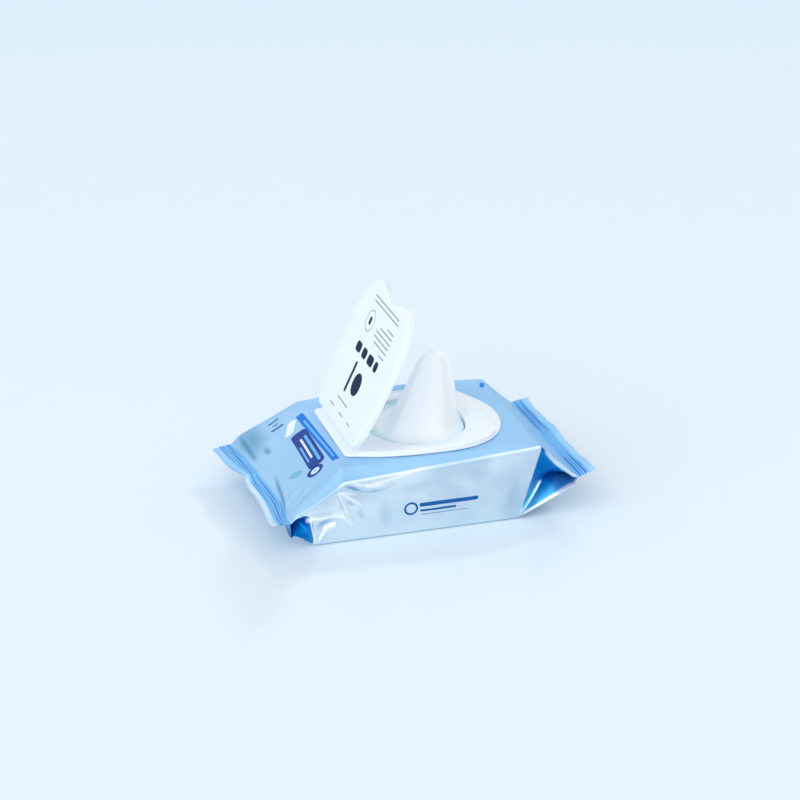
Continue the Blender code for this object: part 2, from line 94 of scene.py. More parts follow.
def turnedOut(points, faces):
    # the faces, turned round if the volume that they enclose comes out negative
    a, b, c, d = (points[faces[:, k]] for k in range(4))
    volume = (a * np.cross(b, c)).sum() + (a * np.cross(c, d)).sum()
    return faces if volume > 0 else faces[:, ::-1]


def addObject(name, data):
    # a new object in the scene, at the origin
    obj = bpy.data.objects.new(name, data)
    bpy.context.scene.collection.objects.link(obj)
    return obj


def makePiece(name, points, faces, material, body, caps=(), sharpDeg=40):
    # a mesh object from points in millimetres; caps are rings of point numbers, each filled by one face
    points = np.asarray(points, float).reshape(-1, 3)
    mesh = bpy.data.meshes.new(name)
    mesh.from_pydata((points * mm).tolist(), [], faces.tolist() + [list(ring) for ring in caps])
    mesh.validate()
    mesh.shade_smooth()
    mesh.set_sharp_from_angle(angle=math.radians(sharpDeg))
    mesh.materials.append(material)
    obj = addObject(name, mesh)
    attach(obj, body)
    return obj


def paint(obj, name, values):
    # one number for each point, which the material reads by its name
    layer = obj.data.attributes.new(name, "FLOAT", "POINT")
    layer.data.foreach_set("value", np.asarray(values, np.float32).ravel())


def mergePieces(parts):
    # several (points, faces, caps) as one, with the numbers moved up
    points, faces, caps, count = [], [], [], 0
    for somePoints, someFaces, someCaps in parts:
        somePoints = np.asarray(somePoints, float).reshape(-1, 3)
        points.append(somePoints)
        faces.append(turnedOut(somePoints, someFaces) + count)
        caps += [[number + count for number in ring] for ring in someCaps]
        count += len(somePoints)
    return np.concatenate(points), np.concatenate(faces), caps


# Shader maths: a value from a socket can be used in plain arithmetic

class Value:
    # one output socket; each operator adds a Math node and gives its result
    def __init__(self, shader, socket):
        self.shader = shader
        self.socket = socket

    def join(self, operation, left, right):
        return self.shader.add("ShaderNodeMath", {"operation": operation}, {0: left, 1: right})

    def __add__(self, other):
        return self.join("ADD", self, other)

    def __radd__(self, other):
        return self.join("ADD", other, self)

    def __sub__(self, other):
        return self.join("SUBTRACT", self, other)

    def __rsub__(self, other):
        return self.join("SUBTRACT", other, self)

    def __mul__(self, other):
        return self.join("MULTIPLY", self, other)

    def __rmul__(self, other):
        return self.join("MULTIPLY", other, self)

    def __pow__(self, other):
        return self.join("POWER", self, other)

    def __rpow__(self, other):
        return self.join("POWER", other, self)

    def __abs__(self):
        return self.join("ABSOLUTE", self, 0.0)


class Shader:
    def __init__(self, block):
        # block is a new material or world, whose nodes are all made here
        self.block = block
        self.block.use_nodes = True
        self.tree = block.node_tree
        self.tree.nodes.clear()

    def add(self, kind, settings=None, inputs=None, output=0):
        # one node: its settings first, then values or links into its sockets; gives one of its outputs
        node = self.tree.nodes.new(kind)
        for name, value in (settings or {}).items():
            setattr(node, name, value)
        for name, value in (inputs or {}).items():
            if isinstance(value, Value):
                self.tree.links.new(value.socket, node.inputs[name])
            else:
                node.inputs[name].default_value = value
        return Value(self, node.outputs[output]) if len(node.outputs) else None

    def place(self, origin=(0, 0, 0), turn=(0, 0, 0)):
        # object coordinates in millimetres, as three values, seen from origin and turned
        where = self.add("ShaderNodeTexCoord", output=3)
        settings = {"vector_type": "TEXTURE"}
        where = self.add("ShaderNodeMapping", settings, {0: where, 1: origin, 2: turn})
        parts = [self.add("ShaderNodeSeparateXYZ", inputs={0: where}, output=k) for k in range(3)]
        return [part * (1 / mm) for part in parts]

    def painted(self, name):
        # what paint() put on the points
        return self.add("ShaderNodeAttribute", {"attribute_name": name}, output=2)

    def rise(self, value, low, high):
        # 0 below low, 1 above high
        settings = {"interpolation_type": "SMOOTHSTEP"}
        return self.add("ShaderNodeMapRange", settings, {0: value, 1: low, 2: high, 3: 0.0, 4: 1.0})

    def most(self, left, right):
        return left.join("MAXIMUM", left, right)

    def bar(self, u, v, centre, size, radius, soft=0.12):
        # 1 inside a bar with round corners: the distance past its core is less than their radius
        du = self.most(abs(u - centre[0]) - (size[0] / 2 - radius), 0.0)
        dv = self.most(abs(v - centre[1]) - (size[1] / 2 - radius), 0.0)
        reach = (du * du + dv * dv) ** 0.5
        return 1.0 - self.rise(reach, radius - soft, radius + soft)

    def ring(self, u, v, centre, radius, width, soft=0.12):
        # 1 on a round line
        reach = ((u - centre[0]) ** 2.0 + (v - centre[1]) ** 2.0) ** 0.5
        return 1.0 - self.rise(abs(reach - radius), width / 2 - soft, width / 2 + soft)

    def mix(self, share, first, second):
        # the first colour at share 0, the second at 1
        settings = {"data_type": "RGBA"}
        return self.add("ShaderNodeMix", settings, {0: share, 6: first, 7: second}, output=2)

    def noise(self, scale, detail, roughness=0.5, stretch=(1, 1, 1)):
        # clouds from 0 to 1 that lie still on the piece
        where = self.add("ShaderNodeTexCoord", output=3)
        where = self.add("ShaderNodeMapping", {}, {0: where, 3: stretch})
        inputs = {"Vector": where, "Scale": scale, "Detail": detail, "Roughness": roughness}
        return self.add("ShaderNodeTexNoise", {}, inputs)

    def bump(self, height, distance, strength):
        return self.add("ShaderNodeBump", {}, {"Height": height, "Distance": distance, "Strength": strength})

    def finish(self, **sockets):
        # each name is a socket of the surface shader, with _ for a space
        names = {name.replace("_", " "): value for name, value in sockets.items()}
        surface = self.add("ShaderNodeBsdfPrincipled", {}, names)
        self.add("ShaderNodeOutputMaterial", {}, {"Surface": surface})
        return self.block


def colour(screen):
    # red, green and blue from 0 to 255 on a screen as the linear colour that shaders use
    shares = [value / 255 for value in screen]
    return (*[c / 12.92 if c <= 0.04045 else ((c + 0.055) / 1.055) ** 2.4 for c in shares], 1.0)


# Camera

camera = {
    "turnDeg": -17, "tiltDeg": 23, "distance": 1.446, "right": 0.0015, "up": 0.0563, "aimX": -0.00185,
    "lens": 108, "sensor": 36, "seesTo": 20,
}


def makeCamera():
    # on a ball round the pack, looking at its middle, and then moved right and up in its own picture plane
    turn, tilt = math.radians(camera["turnDeg"]), math.radians(camera["tiltDeg"])
    back = np.array((math.sin(turn) * math.cos(tilt), -math.cos(turn) * math.cos(tilt), math.sin(tilt)))
    right = np.array((math.cos(turn), math.sin(turn), 0.0))
    up = np.cross(back, right)
    place = back * camera["distance"] + right * camera["right"] + up * camera["up"]
    place[0] += camera["aimX"]
    data = bpy.data.cameras.new("camera")
    data.lens, data.sensor_width, data.clip_end = camera["lens"], camera["sensor"], camera["seesTo"]
    obj = addObject("camera", data)
    turned = Matrix([list(row) for row in np.stack([right, up, back], axis=1)]).to_4x4()
    obj.matrix_world = Matrix.Translation(place.tolist()) @ turned
    bpy.context.scene.camera = obj


# Floor and light

studio = {
    "floorColour": (226, 241, 252), "floorHalf": 6.0, "floorRoughness": 0.20, "floorGloss": 0.16,
    "skyLevel": 0.68, "skyLow": (168, 200, 228), "skyHigh": (255, 255, 255), "skyHighLevel": 1.4,
    "skyClimb": (0.12, 0.62),       # from where to where the sky brightens, as the sine of the height
    "keyFrom": (0.598, 0.528, 0.602), "keySizeDeg": 6.0, "keyLevel": 0.14,
    "fillFrom": (-0.62, -0.60, 0.50), "fillSizeDeg": 80.0, "fillLevel": 0.52,
}


def makeSun(name, source, sizeDeg, level):
    # a lamp far away; at this level a white surface square to it would show that share of white
    data = bpy.data.lights.new(name, "SUN")
    data.angle = math.radians(sizeDeg)
    data.energy = level * math.pi
    obj = addObject(name, data)
    back = np.array(source) / np.linalg.norm(source)
    right = np.cross((0, 0, 1), back)
    right /= np.linalg.norm(right)
    turned = np.stack([right, np.cross(back, right), back], axis=1)
    obj.matrix_world = Matrix(turned.tolist()).to_4x4()


def makeStudio():
    scene = bpy.context.scene
    scene.view_settings.view_transform = "Standard"
    shader = Shader(bpy.data.materials.new("pale_floor"))
    material = shader.finish(Base_Color=colour(studio["floorColour"]), Roughness=studio["floorRoughness"],
                             Specular_IOR_Level=studio["floorGloss"])
    half = studio["floorHalf"]
    corners = [(-half, -half, 0), (half, -half, 0), (half, half, 0), (-half, half, 0)]
    mesh = bpy.data.meshes.new("floor")
    mesh.from_pydata(corners, [], [(0, 1, 2, 3)])
    mesh.materials.append(material)
    addObject("floor", mesh)

    # what shines back from the foil is a sky that brightens from the horizon up; the rest is lit evenly
    sky = Shader(bpy.data.worlds.new("studio"))
    scene.world = sky.block
    glossy = sky.add("ShaderNodeLightPath", output="Is Glossy Ray")
    direction = sky.add("ShaderNodeTexCoord", output="Generated")
    climb = sky.rise(sky.add("ShaderNodeSeparateXYZ", inputs={0: direction}, output=2), *studio["skyClimb"])
    shades = sky.mix(climb, colour(studio["skyLow"]), colour(studio["skyHigh"]))
    shown = sky.mix(glossy, (1, 1, 1, 1), shades)
    shownLevel = 1.0 - studio["skyLevel"] + (studio["skyHighLevel"] - 1.0) * climb
    inputs = {"Color": shown, "Strength": studio["skyLevel"] + glossy * shownLevel}
    sky.add("ShaderNodeOutputWorld", {}, {"Surface": sky.add("ShaderNodeBackground", {}, inputs)})
    makeSun("key", studio["keyFrom"], studio["keySizeDeg"], studio["keyLevel"])
    makeSun("fill", studio["fillFrom"], studio["fillSizeDeg"], studio["fillLevel"])


# Pouch

pouch = {
    "half": 102.25, "topZ": 44.6, "bodyHalf": 55.0, "bottomInset": 0.5,
    "leftBottomX": -66.75, "rightBottomX": 55.95, "leftTopX": -50.25, "rightTopX": 69.25,
    "nearLeft": -6.6, "nearRight": 0.4, "farLeft": -0.4, "farRight": 0.4, "farBulge": 3.0,
    "shoulder": 8.0, "shoulderPower": 1.84, "edgeRadius": 2.0, "belly": 1.2,
    "sealWidth": 11.3, "sealHalf": 58.5, "sealThick": 1.0, "ribs": 4, "ribDepth": 0.55, "ribBand": 0.60,
    "rightSeal": (23.8, 2.4, 0.0, -1.0), "leftSeal": (21.2, -3.2, 1.2, -2.2), "leftSkew": 5.0,
    "tuck": 20.0, "leftTuck": 12.0, "leftTuckStart": (0.23, 0.58), "fallPower": 0.95, "liftPower": 1.12,
    "sag": 8.2, "rightSag": 4.2, "farCornerSinks": 3.8, "nearCornerSinks": 2.2,
    "finLift": 0.45, "finEdgeY": 5.6, "toothPitch": 2.6, "toothDepth": 1.1,
    "rows": (34, 66, 112, 52, 34), "across": 45, "cornerSteps": 5, "nearSteps": 54, "farSteps": 22,
    "throat": (8.0, 31.6, 37.3),
}

# creases in the near side: start and end as (x, z), width and height, in millimetres
sideCreases = [
    ((-73.5, 20.2), (-51.5, 17.1), 3.2, 1.5),
    ((-52.5, 17.8), (-45.5, 11.5), 2.2, 1.1),
    ((-71.6, 19.0), (-68.0, 3.0), 2.2, 1.2),
    ((-67.4, 0.5), (-61.0, 11.0), 1.9, 1.3),
    ((-61.5, 10.0), (-55.0, 12.4), 1.7, 0.9),
    ((-54.4, 33.0), (-46.7, 13.1), 3.0, 1.1),
    ((-52.8, 32.6), (-40.6, 23.2), 2.2, 0.9),
    ((-53.5, 33.6), (-36.0, 29.0), 1.8, -0.9),
    ((-64.0, 28.0), (-57.5, 31.0), 1.8, -0.6),
    ((-50.0, 26.0), (-38.0, 16.5), 2.6, -0.5),
    ((-43.0, 22.0), (-33.0, 6.0), 4.0, 0.5),
    ((-36.0, 30.0), (-14.0, 26.0), 4.0, 0.4),
]

# softer dents and swellings there: middle (x, z), half sizes, height
sideDents = [
    ((-61.5, 14.2), (8.5, 3.6), -1.5),
    ((-64.5, 27.0), (7.0, 4.0), 0.8),
    ((-30.0, 32.5), (14.0, 3.2), 1.0),
    ((-33.0, 12.0), (7.0, 9.0), -0.4),
    ((-8.0, 26.0), (16.0, 10.0), -0.3),
    ((35.0, 20.0), (18.0, 14.0), 0.3),
    ((14.0, 30.0), (12.0, 8.0), -0.25),
]

# painted highlights on the side's foil: start and end as (x, z), half width, strength
sideHighlights = [
    ((-73.4, 19.4), (-70.0, 19.6), 2.2, 1.0),
    ((-71.5, 20.2), (-50.5, 17.2), 1.3, 1.0),
    ((-51.5, 17.3), (-46.0, 11.6), 0.9, 0.8),
    ((-70.8, 18.6), (-68.2, 5.0), 0.8, 0.9),
    ((-68.4, 5.5), (-67.6, 1.0), 0.7, 0.8),
    ((-67.2, 1.0), (-61.2, 10.4), 1.0, 1.0),
    ((-60.4, 9.6), (-55.6, 12.0), 1.2, 0.9),
    ((-54.2, 33.0), (-46.6, 13.0), 0.8, 0.6),
    ((-53.2, 32.4), (-40.6, 23.3), 1.1, 0.9),
    ((-44.4, 36.4), (-36.0, 34.3), 1.2, 0.8),
    ((-37.0, 34.4), (-24.0, 36.0), 1.3, 0.9),
    ((-25.0, 36.0), (2.0, 42.0), 1.1, 1.0),
    ((0.0, 41.7), (70.0, 45.3), 0.75, 1.0),
]

# and painted shade that darkens the side and the top film to dark blue: middle, half sizes, turn in degrees,
# strength
sideShades = [
    ((-45.5, 34.0), (8.5, 1.8), -24, 1.0),
    ((-61.4, 32.4), (4.0, 1.5), 32, 0.8),
    ((-62.0, 14.0), (8.5, 2.8), -8, 0.55),
    ((-52.3, 24.5), (1.4, 8.0), 20, 0.5),
    ((-47.0, 25.0), (5.0, 2.0), -42, 0.45),
    ((-41.0, 17.0), (3.0, 6.0), 20, 0.3),
    ((-64.0, 5.0), (1.6, 5.0), -28, 0.45),
    ((-32.0, 31.0), (12.0, 1.6), 4, 0.45),
    ((-12.0, 20.0), (34.0, 22.0), 0, 0.16),
    ((-26.0, 14.0), (6.0, 12.0), 0, 0.22),
    ((-6.0, 30.0), (16.0, 5.0), 8, 0.20),
    ((30.0, 32.0), (14.0, 6.0), 0, 0.15),
    ((52.0, 18.0), (5.0, 16.0), -14, 0.22),
    ((-69.5, 27.0), (4.0, 2.4), 28, 0.5),
]
topShades = [
    ((-80.5, 42.0), (11.0, 30.0), 4, 0.75),
    ((-77.0, 22.5), (2.4, 3.6), 0, 0.5),
    ((-57.0, -53.0), (24.0, 9.0), 0, 0.3),
]

# soft folds of the top film: start and end as (x, y), width, height and how much painted shade lies in the fold
topCreases = [
    ((-79.8, -10.0), (-83.4, -58.0), 1.5, -1.4, 1.0),
    ((-67.0, -39.0), (-76.0, -47.0), 1.3, 0.5, 0.0),
    ((-74.0, -33.5), (-81.0, -41.0), 1.2, 0.45, 0.0),
    ((-70.0, -44.0), (-78.0, -51.0), 1.6, -0.4, 0.25),
    ((-86.0, 54.0), (-84.5, 22.0), 2.6, -1.1, 0.7),
    ((-78.0, 54.0), (-75.0, 26.0), 8.0, 1.1, 0.0),
    ((-77.2, 27.0), (-76.0, 18.0), 2.4, -0.7, 0.35),
    ((-62.0, 52.0), (-60.0, 34.0), 5.0, 0.4, 0.0),
    ((78.0, -40.0), (76.0, 20.0), 7.0, 0.5, 0.0),
    ((60.0, -50.0), (60.0, 40.0), 3.0, 0.15, 0.0),
    ((88.5, -20.0), (88.5, 40.0), 1.4, -0.8, 0.5),
]


def spot(x, y, centre, half, turnDeg):
    # 1 in the middle of a turned ellipse, falling smoothly to 0 at its edge
    turn = math.radians(turnDeg)
    along = (x - centre[0]) * math.cos(turn) + (y - centre[1]) * math.sin(turn)
    away = (y - centre[1]) * math.cos(turn) - (x - centre[0]) * math.sin(turn)
    return hump(np.hypot(along / half[0], away / half[1]))


def pouchRows():
    # for every row along the pack: share of the body, of the way to a seal, of the seal, and which end
    leftSeal, leftEnd, body, rightEnd, rightSeal = pouch["rows"]
    parts = [
        (np.zeros(leftSeal), np.ones(leftSeal), np.linspace(1, 0, leftSeal, endpoint=False), -1),
        (np.zeros(leftEnd), np.linspace(1, 0, leftEnd, endpoint=False), np.zeros(leftEnd), -1),
        (np.linspace(0, 1, body), np.zeros(body), np.zeros(body), 0),
        (np.ones(rightEnd), np.linspace(0, 1, rightEnd + 1)[1:], np.zeros(rightEnd), 1),
        (np.ones(rightSeal), np.ones(rightSeal), np.linspace(0, 1, rightSeal + 1)[1:], 1),
    ]
    bodyShare, endShare, sealShare = (np.concatenate([p[k] for p in parts])[:, None] for k in range(3))
    side = np.concatenate([np.full(len(p[0]), p[3]) for p in parts])[:, None]
    return bodyShare, endShare, sealShare, side


def pouchStations():
    # every row's sizes: bottom and top x, levels and half widths, as columns
    t, u, s, side = pouchRows()
    right = side >= 0
    seal = [np.where(right, a, b) for a, b in zip(pouch["rightSeal"], pouch["leftSeal"])]
    height, rise, tilt, twist = seal
    sealX = side * (pouch["half"] - pouch["sealWidth"]) + np.where(right, 0.0, pouch["leftSkew"])
    bottomX = pouch["leftBottomX"] + (pouch["rightBottomX"] - pouch["leftBottomX"]) * t
    topX = pouch["leftTopX"] + (pouch["rightTopX"] - pouch["leftTopX"]) * t
    # thickness of the seal, drawn in to nothing at the cut edge so that the two films meet
    thick = pouch["sealThick"] * np.where(s > 0, 1 - smooth((s - 0.93) / 0.07), 1.0)
    near = pouch["topZ"] + pouch["nearLeft"] + (pouch["nearRight"] - pouch["nearLeft"]) * t
    far = pouch["topZ"] + pouch["farLeft"] + (pouch["farRight"] - pouch["farLeft"]) * t
    far = far + pouch["farBulge"] * np.sin(np.pi * t)
    fall = u ** pouch["fallPower"]
    level = height + rise * s
    stations = {
        "bottomX": bottomX + (sealX - bottomX) * u + side * pouch["sealWidth"] * s,
        "topX": topX + (sealX - topX) * u + side * pouch["sealWidth"] * s,
        "bottomZ": (level - thick / 2) * u ** pouch["liftPower"],
        "bottomHalf": (pouch["bodyHalf"] - pouch["bottomInset"]) * (1 - u) + pouch["sealHalf"] * u,
        "topHalf": pouch["bodyHalf"] * (1 - u) + pouch["sealHalf"] * u,
        "crown": pouch["topZ"] + (level + thick / 2 - pouch["topZ"]) * fall,
        "near": near + (level + thick / 2 - near) * fall,
        "far": far + (level + thick / 2 - far) * fall,
        "tuck": np.where(s > 0, 0.0, pouch["tuck"] * u * (1 - smooth((u - 0.97) / 0.03))),
        "belly": pouch["belly"] * np.sin(np.pi * t) * (u == 0),
        "skew": np.where(right, 0.0, pouch["leftSkew"] * u),
        "tilt": tilt * u + twist * s,
        "fin": 1 - u,
    }
    return stations, t, u, s, side


def pouchHalf(st, edge, sideSteps, tuck):
    # half a section, from the middle of the underside round to the middle of the top: y, z and panel marks
    corner = np.linspace(0, 1, pouch["cornerSteps"] + 2)[None, 1:-1]
    across = np.linspace(0, 1, pouch["across"] + 1)[None, :]
    up = np.linspace(0, 1, sideSteps)[None, :]
    radius = np.minimum(pouch["edgeRadius"], 0.3 * (edge - st["bottomZ"]))
    bottomCore, topCore = st["bottomHalf"] - radius, st["topHalf"] - radius
    y, z = [bottomCore * across], [st["bottomZ"] + 0 * across]
    angle = np.pi / 2 * corner
    y.append(bottomCore + radius * np.sin(angle))
    z.append(st["bottomZ"] + radius * (1 - np.cos(angle)))
    valley = 1 - np.sqrt((2 * up - 1) ** 2 + 0.0006)
    y.append(st["bottomHalf"] + (st["topHalf"] - st["bottomHalf"]) * up + (st["belly"] - tuck(up)) * valley)
    z.append(st["bottomZ"] + radius + (edge - st["bottomZ"] - 2 * radius) * up)
    y.append(topCore + radius * np.cos(angle))
    z.append(edge - radius * (1 - np.sin(angle)))
    inward = across[:, ::-1]
    shoulder = st["topHalf"] * (1 - pouch["shoulder"] / pouch["bodyHalf"])
    drop = np.clip((topCore * inward - shoulder) / (topCore - shoulder), 0, 1) ** pouch["shoulderPower"]
    y.append(topCore * inward)
    z.append(st["crown"] + (edge - st["crown"]) * drop)
    marks = [0] * across.size + [0.5] * corner.size + [1] * sideSteps + [1.5] * corner.size + [2] * across.size
    ups = [0] * (across.size + corner.size) + list(up[0]) + [1] * (across.size + corner.size)
    return np.concatenate(y, axis=1), np.concatenate(z, axis=1), np.array(marks), np.array(ups)


def pouchShape():
    # the loft: a grid of points whose rows are sections and whose columns run round the pack
    st, t, u, s, side = pouchStations()
    # the near left gusset is tucked in less, and only beyond its line
    pulled = pouch["leftTuck"] / pouch["tuck"]
    farY, farZ, farMarks, farUps = pouchHalf(st, st["far"], pouch["farSteps"], lambda up: st["tuck"])
    nearY, nearZ, nearMarks, nearUps = pouchHalf(
        st, st["near"], pouch["nearSteps"],
        lambda up: st["tuck"] * np.where(side < 0, pulled * smooth((u - gussetLine(up)) / 0.35), 1.0))
    y = np.concatenate([farY, -nearY[:, -2:0:-1]], axis=1)
    z = np.concatenate([farZ, nearZ[:, -2:0:-1]], axis=1)
    marks = np.concatenate([farMarks, nearMarks[-2:0:-1]])[None, :] + 0 * y
    ups = np.concatenate([farUps, nearUps[-2:0:-1]])[None, :] + 0 * y
    edge = np.concatenate([st["far"] + 0 * farY, st["near"] + 0 * nearY[:, -2:0:-1]], axis=1)
    span = np.maximum(np.minimum(edge, st["crown"]) - st["bottomZ"], 1e-6)
    x = st["bottomX"] + (st["topX"] - st["bottomX"]) * np.clip((z - st["bottomZ"]) / span, 0, 1)
    # the back seam lies flush, and its fin's two edges show as faint lines under the pack
    fin = np.exp(-((np.abs(y) - pouch["finEdgeY"]) / 0.7) ** 2) * st["fin"]
    z = z + pouch["finLift"] * fin * (marks == 0)
    x = x - st["skew"] * y / pouch["sealHalf"]
    z = z + st["tilt"] * y / pouch["sealHalf"]
    points = np.stack([x, y, z], axis=-1)
    return points, marks, ups, t + 0 * y, u + 0 * y, s + 0 * y, side + 0 * y


def eased(points, weight, rounds):
    # points averaged with the rows beside them, where weight asks for it
    for _ in range(rounds):
        padded = np.concatenate([points[:1], points, points[-1:]])
        average = 0.25 * padded[:-2] + 0.5 * padded[1:-1] + 0.25 * padded[2:]
        points = points + (average - points) * weight
    return points


def gridNormals(points):
    # the direction across the surface at each point, from the steps along its row and column
    along = np.gradient(points, axis=0)
    around = (np.roll(points, -1, axis=1) - np.roll(points, 1, axis=1)) / 2
    normal = np.cross(along, around)
    length = np.linalg.norm(normal, axis=-1, keepdims=True)
    normal = normal / np.maximum(length, 1e-9)
    outward = np.sign((normal * (points - points.mean(axis=(0, 1)))).sum())
    return normal * outward


def sealWave(y, left, right):
    # how the end seals stray from flat: the left one has a curl that ends in a kink, the right one ripples
    curl = smooth((y - 3.0) / 3.0) * (1 - smooth((y - 6.0) / 40.0))
    leftWave = 2.8 * curl - 1.2 * hump((y + 1) / 7) - 0.9 * hump((y + 34) / 20) + 0.5 * np.sin(0.16 * y)
    rightWave = 0.9 * np.sin(0.11 * y + 0.6) + 0.5 * np.sin(0.23 * y) + 1.3 * smooth((-y - 50) / 9)
    return left * leftWave + right * rightWave


def ribPhase(s):
    # which rib of a seal a point lies on, counted from the pack outwards, and whether it lies in their band
    return s / pouch["ribBand"] * pouch["ribs"], (s > 0) & (s < pouch["ribBand"])


def gussetLine(ups):
    # where the near left gusset begins, as a share of the way to the seal: further out higher up
    start, slope = pouch["leftTuckStart"]
    return start + slope * ups


def filmRelief(x, y, z, marks, ups, u, s, side):
    # how far the film stands out from the loft: creases, dents, soft ripples and one gusset's ridge
    inSide = (marks == 1) & (y < 0)
    window = inSide * smooth(ups / 0.05) * smooth((1 - ups) / 0.14)
    window = window * np.where(side < 0, 1 - smooth((u - gussetLine(ups) + 0.16) / 0.16), 1 - smooth(u / 0.1))
    creases = sum(fold(x, z, a, b, w, h, tent) for a, b, w, h in sideCreases)
    dents = sum(h * hump(np.hypot((x - c[0]) / r[0], (z - c[1]) / r[1])) for c, r, h in sideDents)
    ripple = 0.20 * np.sin(0.21 * x + 0.9 * np.sin(0.13 * z)) * np.sin(0.17 * z + 0.05 * x)
    ripple += 0.10 * np.sin(0.47 * x + 0.6 * z) * np.sin(0.31 * z - 0.11 * x)
    topWindow = (marks == 2) * (1 - smooth((np.abs(y) - 53) / 4)) * (1 - s)
    topFolds = sum(fold(x, y, a, b, w, h) for a, b, w, h, _ in topCreases)
    topFolds += -0.6 * hump(np.hypot(x + 77, y - 22.5) / 3.6)
    underCap = smooth((47 - np.hypot((x - 8) * 0.92, y)) / 4)
    topRipple = 0.14 * np.sin(0.19 * x + 0.4) * np.cos(0.13 * y) * (1 - underCap)
    # the ridge runs up the near right gusset from the bottom's corner
    ridge = inSide * (side > 0) * 1.5 * fold(u, ups, (0.0, 0.02), (0.30, 0.52), 0.050, 1.0, fade=0.20)
    return window * (creases + dents + ripple) + topWindow * (topFolds + topRipple) + ridge


def makePouch(material):
    # the loft with its sagging corners, relief, ribs and teeth; the faces over the throat are left out
    points, marks, ups, t, u, s, side = pouchShape()
    bends = (hump((u[:, :1] - 0.02) / 0.10) + hump((1 - u[:, :1]) / 0.04)) * (s[:, :1] == 0)
    bodyEnds = (side[:, :1] == 0) & ((t[:, :1] < 0.02) | (t[:, :1] > 0.98))
    points = eased(points, np.clip(0.5 * bends + bodyEnds, 0, 1)[:, :, None], 3)
    x, y, z = points[..., 0].copy(), points[..., 1].copy(), points[..., 2].copy()
    # the near left corner hangs, and both inner corners of the left seal sit low
    hang = np.where(side < 0, pouch["sag"] * u ** 0.95, pouch["rightSag"] * u ** 1.3)
    hang = hang * (1 - smooth((u - 0.955) / 0.045)) * (side != 0)
    hang = hang * smooth((-y - 22) / 30) * (1 - ups) ** 1.5 * (marks < 1.5)
    sunk = pouch["farCornerSinks"] * smooth((y - 28) / 26) + pouch["nearCornerSinks"] * smooth((-y - 34) / 22)
    sag = hang + sunk * (1 - s) * smooth((u - 0.84) / 0.16) * (side < 0)
    points[..., 2] = np.where(sag > 0, np.maximum(z - sag, np.minimum(z, 0.02)), z)
    points = points + gridNormals(points) * filmRelief(x, y, z, marks, ups, u, s, side)[..., None]

    # crimped ribs, the waves of the seals and the kink of the left one move both films together
    phase, inBand = ribPhase(s)
    ribs = pouch["ribDepth"] * (0.5 - 0.5 * np.cos(2 * np.pi * phase)) * inBand
    sealShare = np.where(s > 0, 0.12 + 0.88 * s, 0.12 * smooth((u - 0.9) / 0.1))
    points[..., 2] += ribs + sealWave(y, side < 0, side > 0) * sealShare
    pulledIn = (2.4 * hump((y - 6) / 17) + 1.6 * hump((y + 14) / 24)) * s
    tipOut = 2.6 * smooth((-y - 30) / 26) * smooth((u - 0.6) / 0.4)
    points[..., 0] += (side < 0) * (pulledIn - tipOut)

    # the cut edge: a row of small teeth
    phase = (y + pouch["sealHalf"]) / pouch["toothPitch"]
    tooth = pouch["toothDepth"] * np.abs(2 * (phase - np.floor(phase)) - 1)
    points[..., 0] -= side * (pouch["toothDepth"] - tooth) * smooth((s - 0.85) / 0.15)

    faces = gridFaces(*x.shape, closeColumns=True)
    flat = points.reshape(-1, 3)
    middle = flat[faces].mean(axis=1)
    throatX, throatA, throatB = pouch["throat"]
    inHole = ((middle[:, 0] - throatX) / throatA) ** 2 + (middle[:, 1] / throatB) ** 2 < 1
    faces = faces[~(inHole & (middle[:, 2] > 40))]
    obj = makePiece("foil_pouch", flat, turnedOut(flat, faces), material, "pack", sharpDeg=70)
    paintPouch(obj, points, x, y, z, marks, ups, u, s, side)
    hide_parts("pouch")


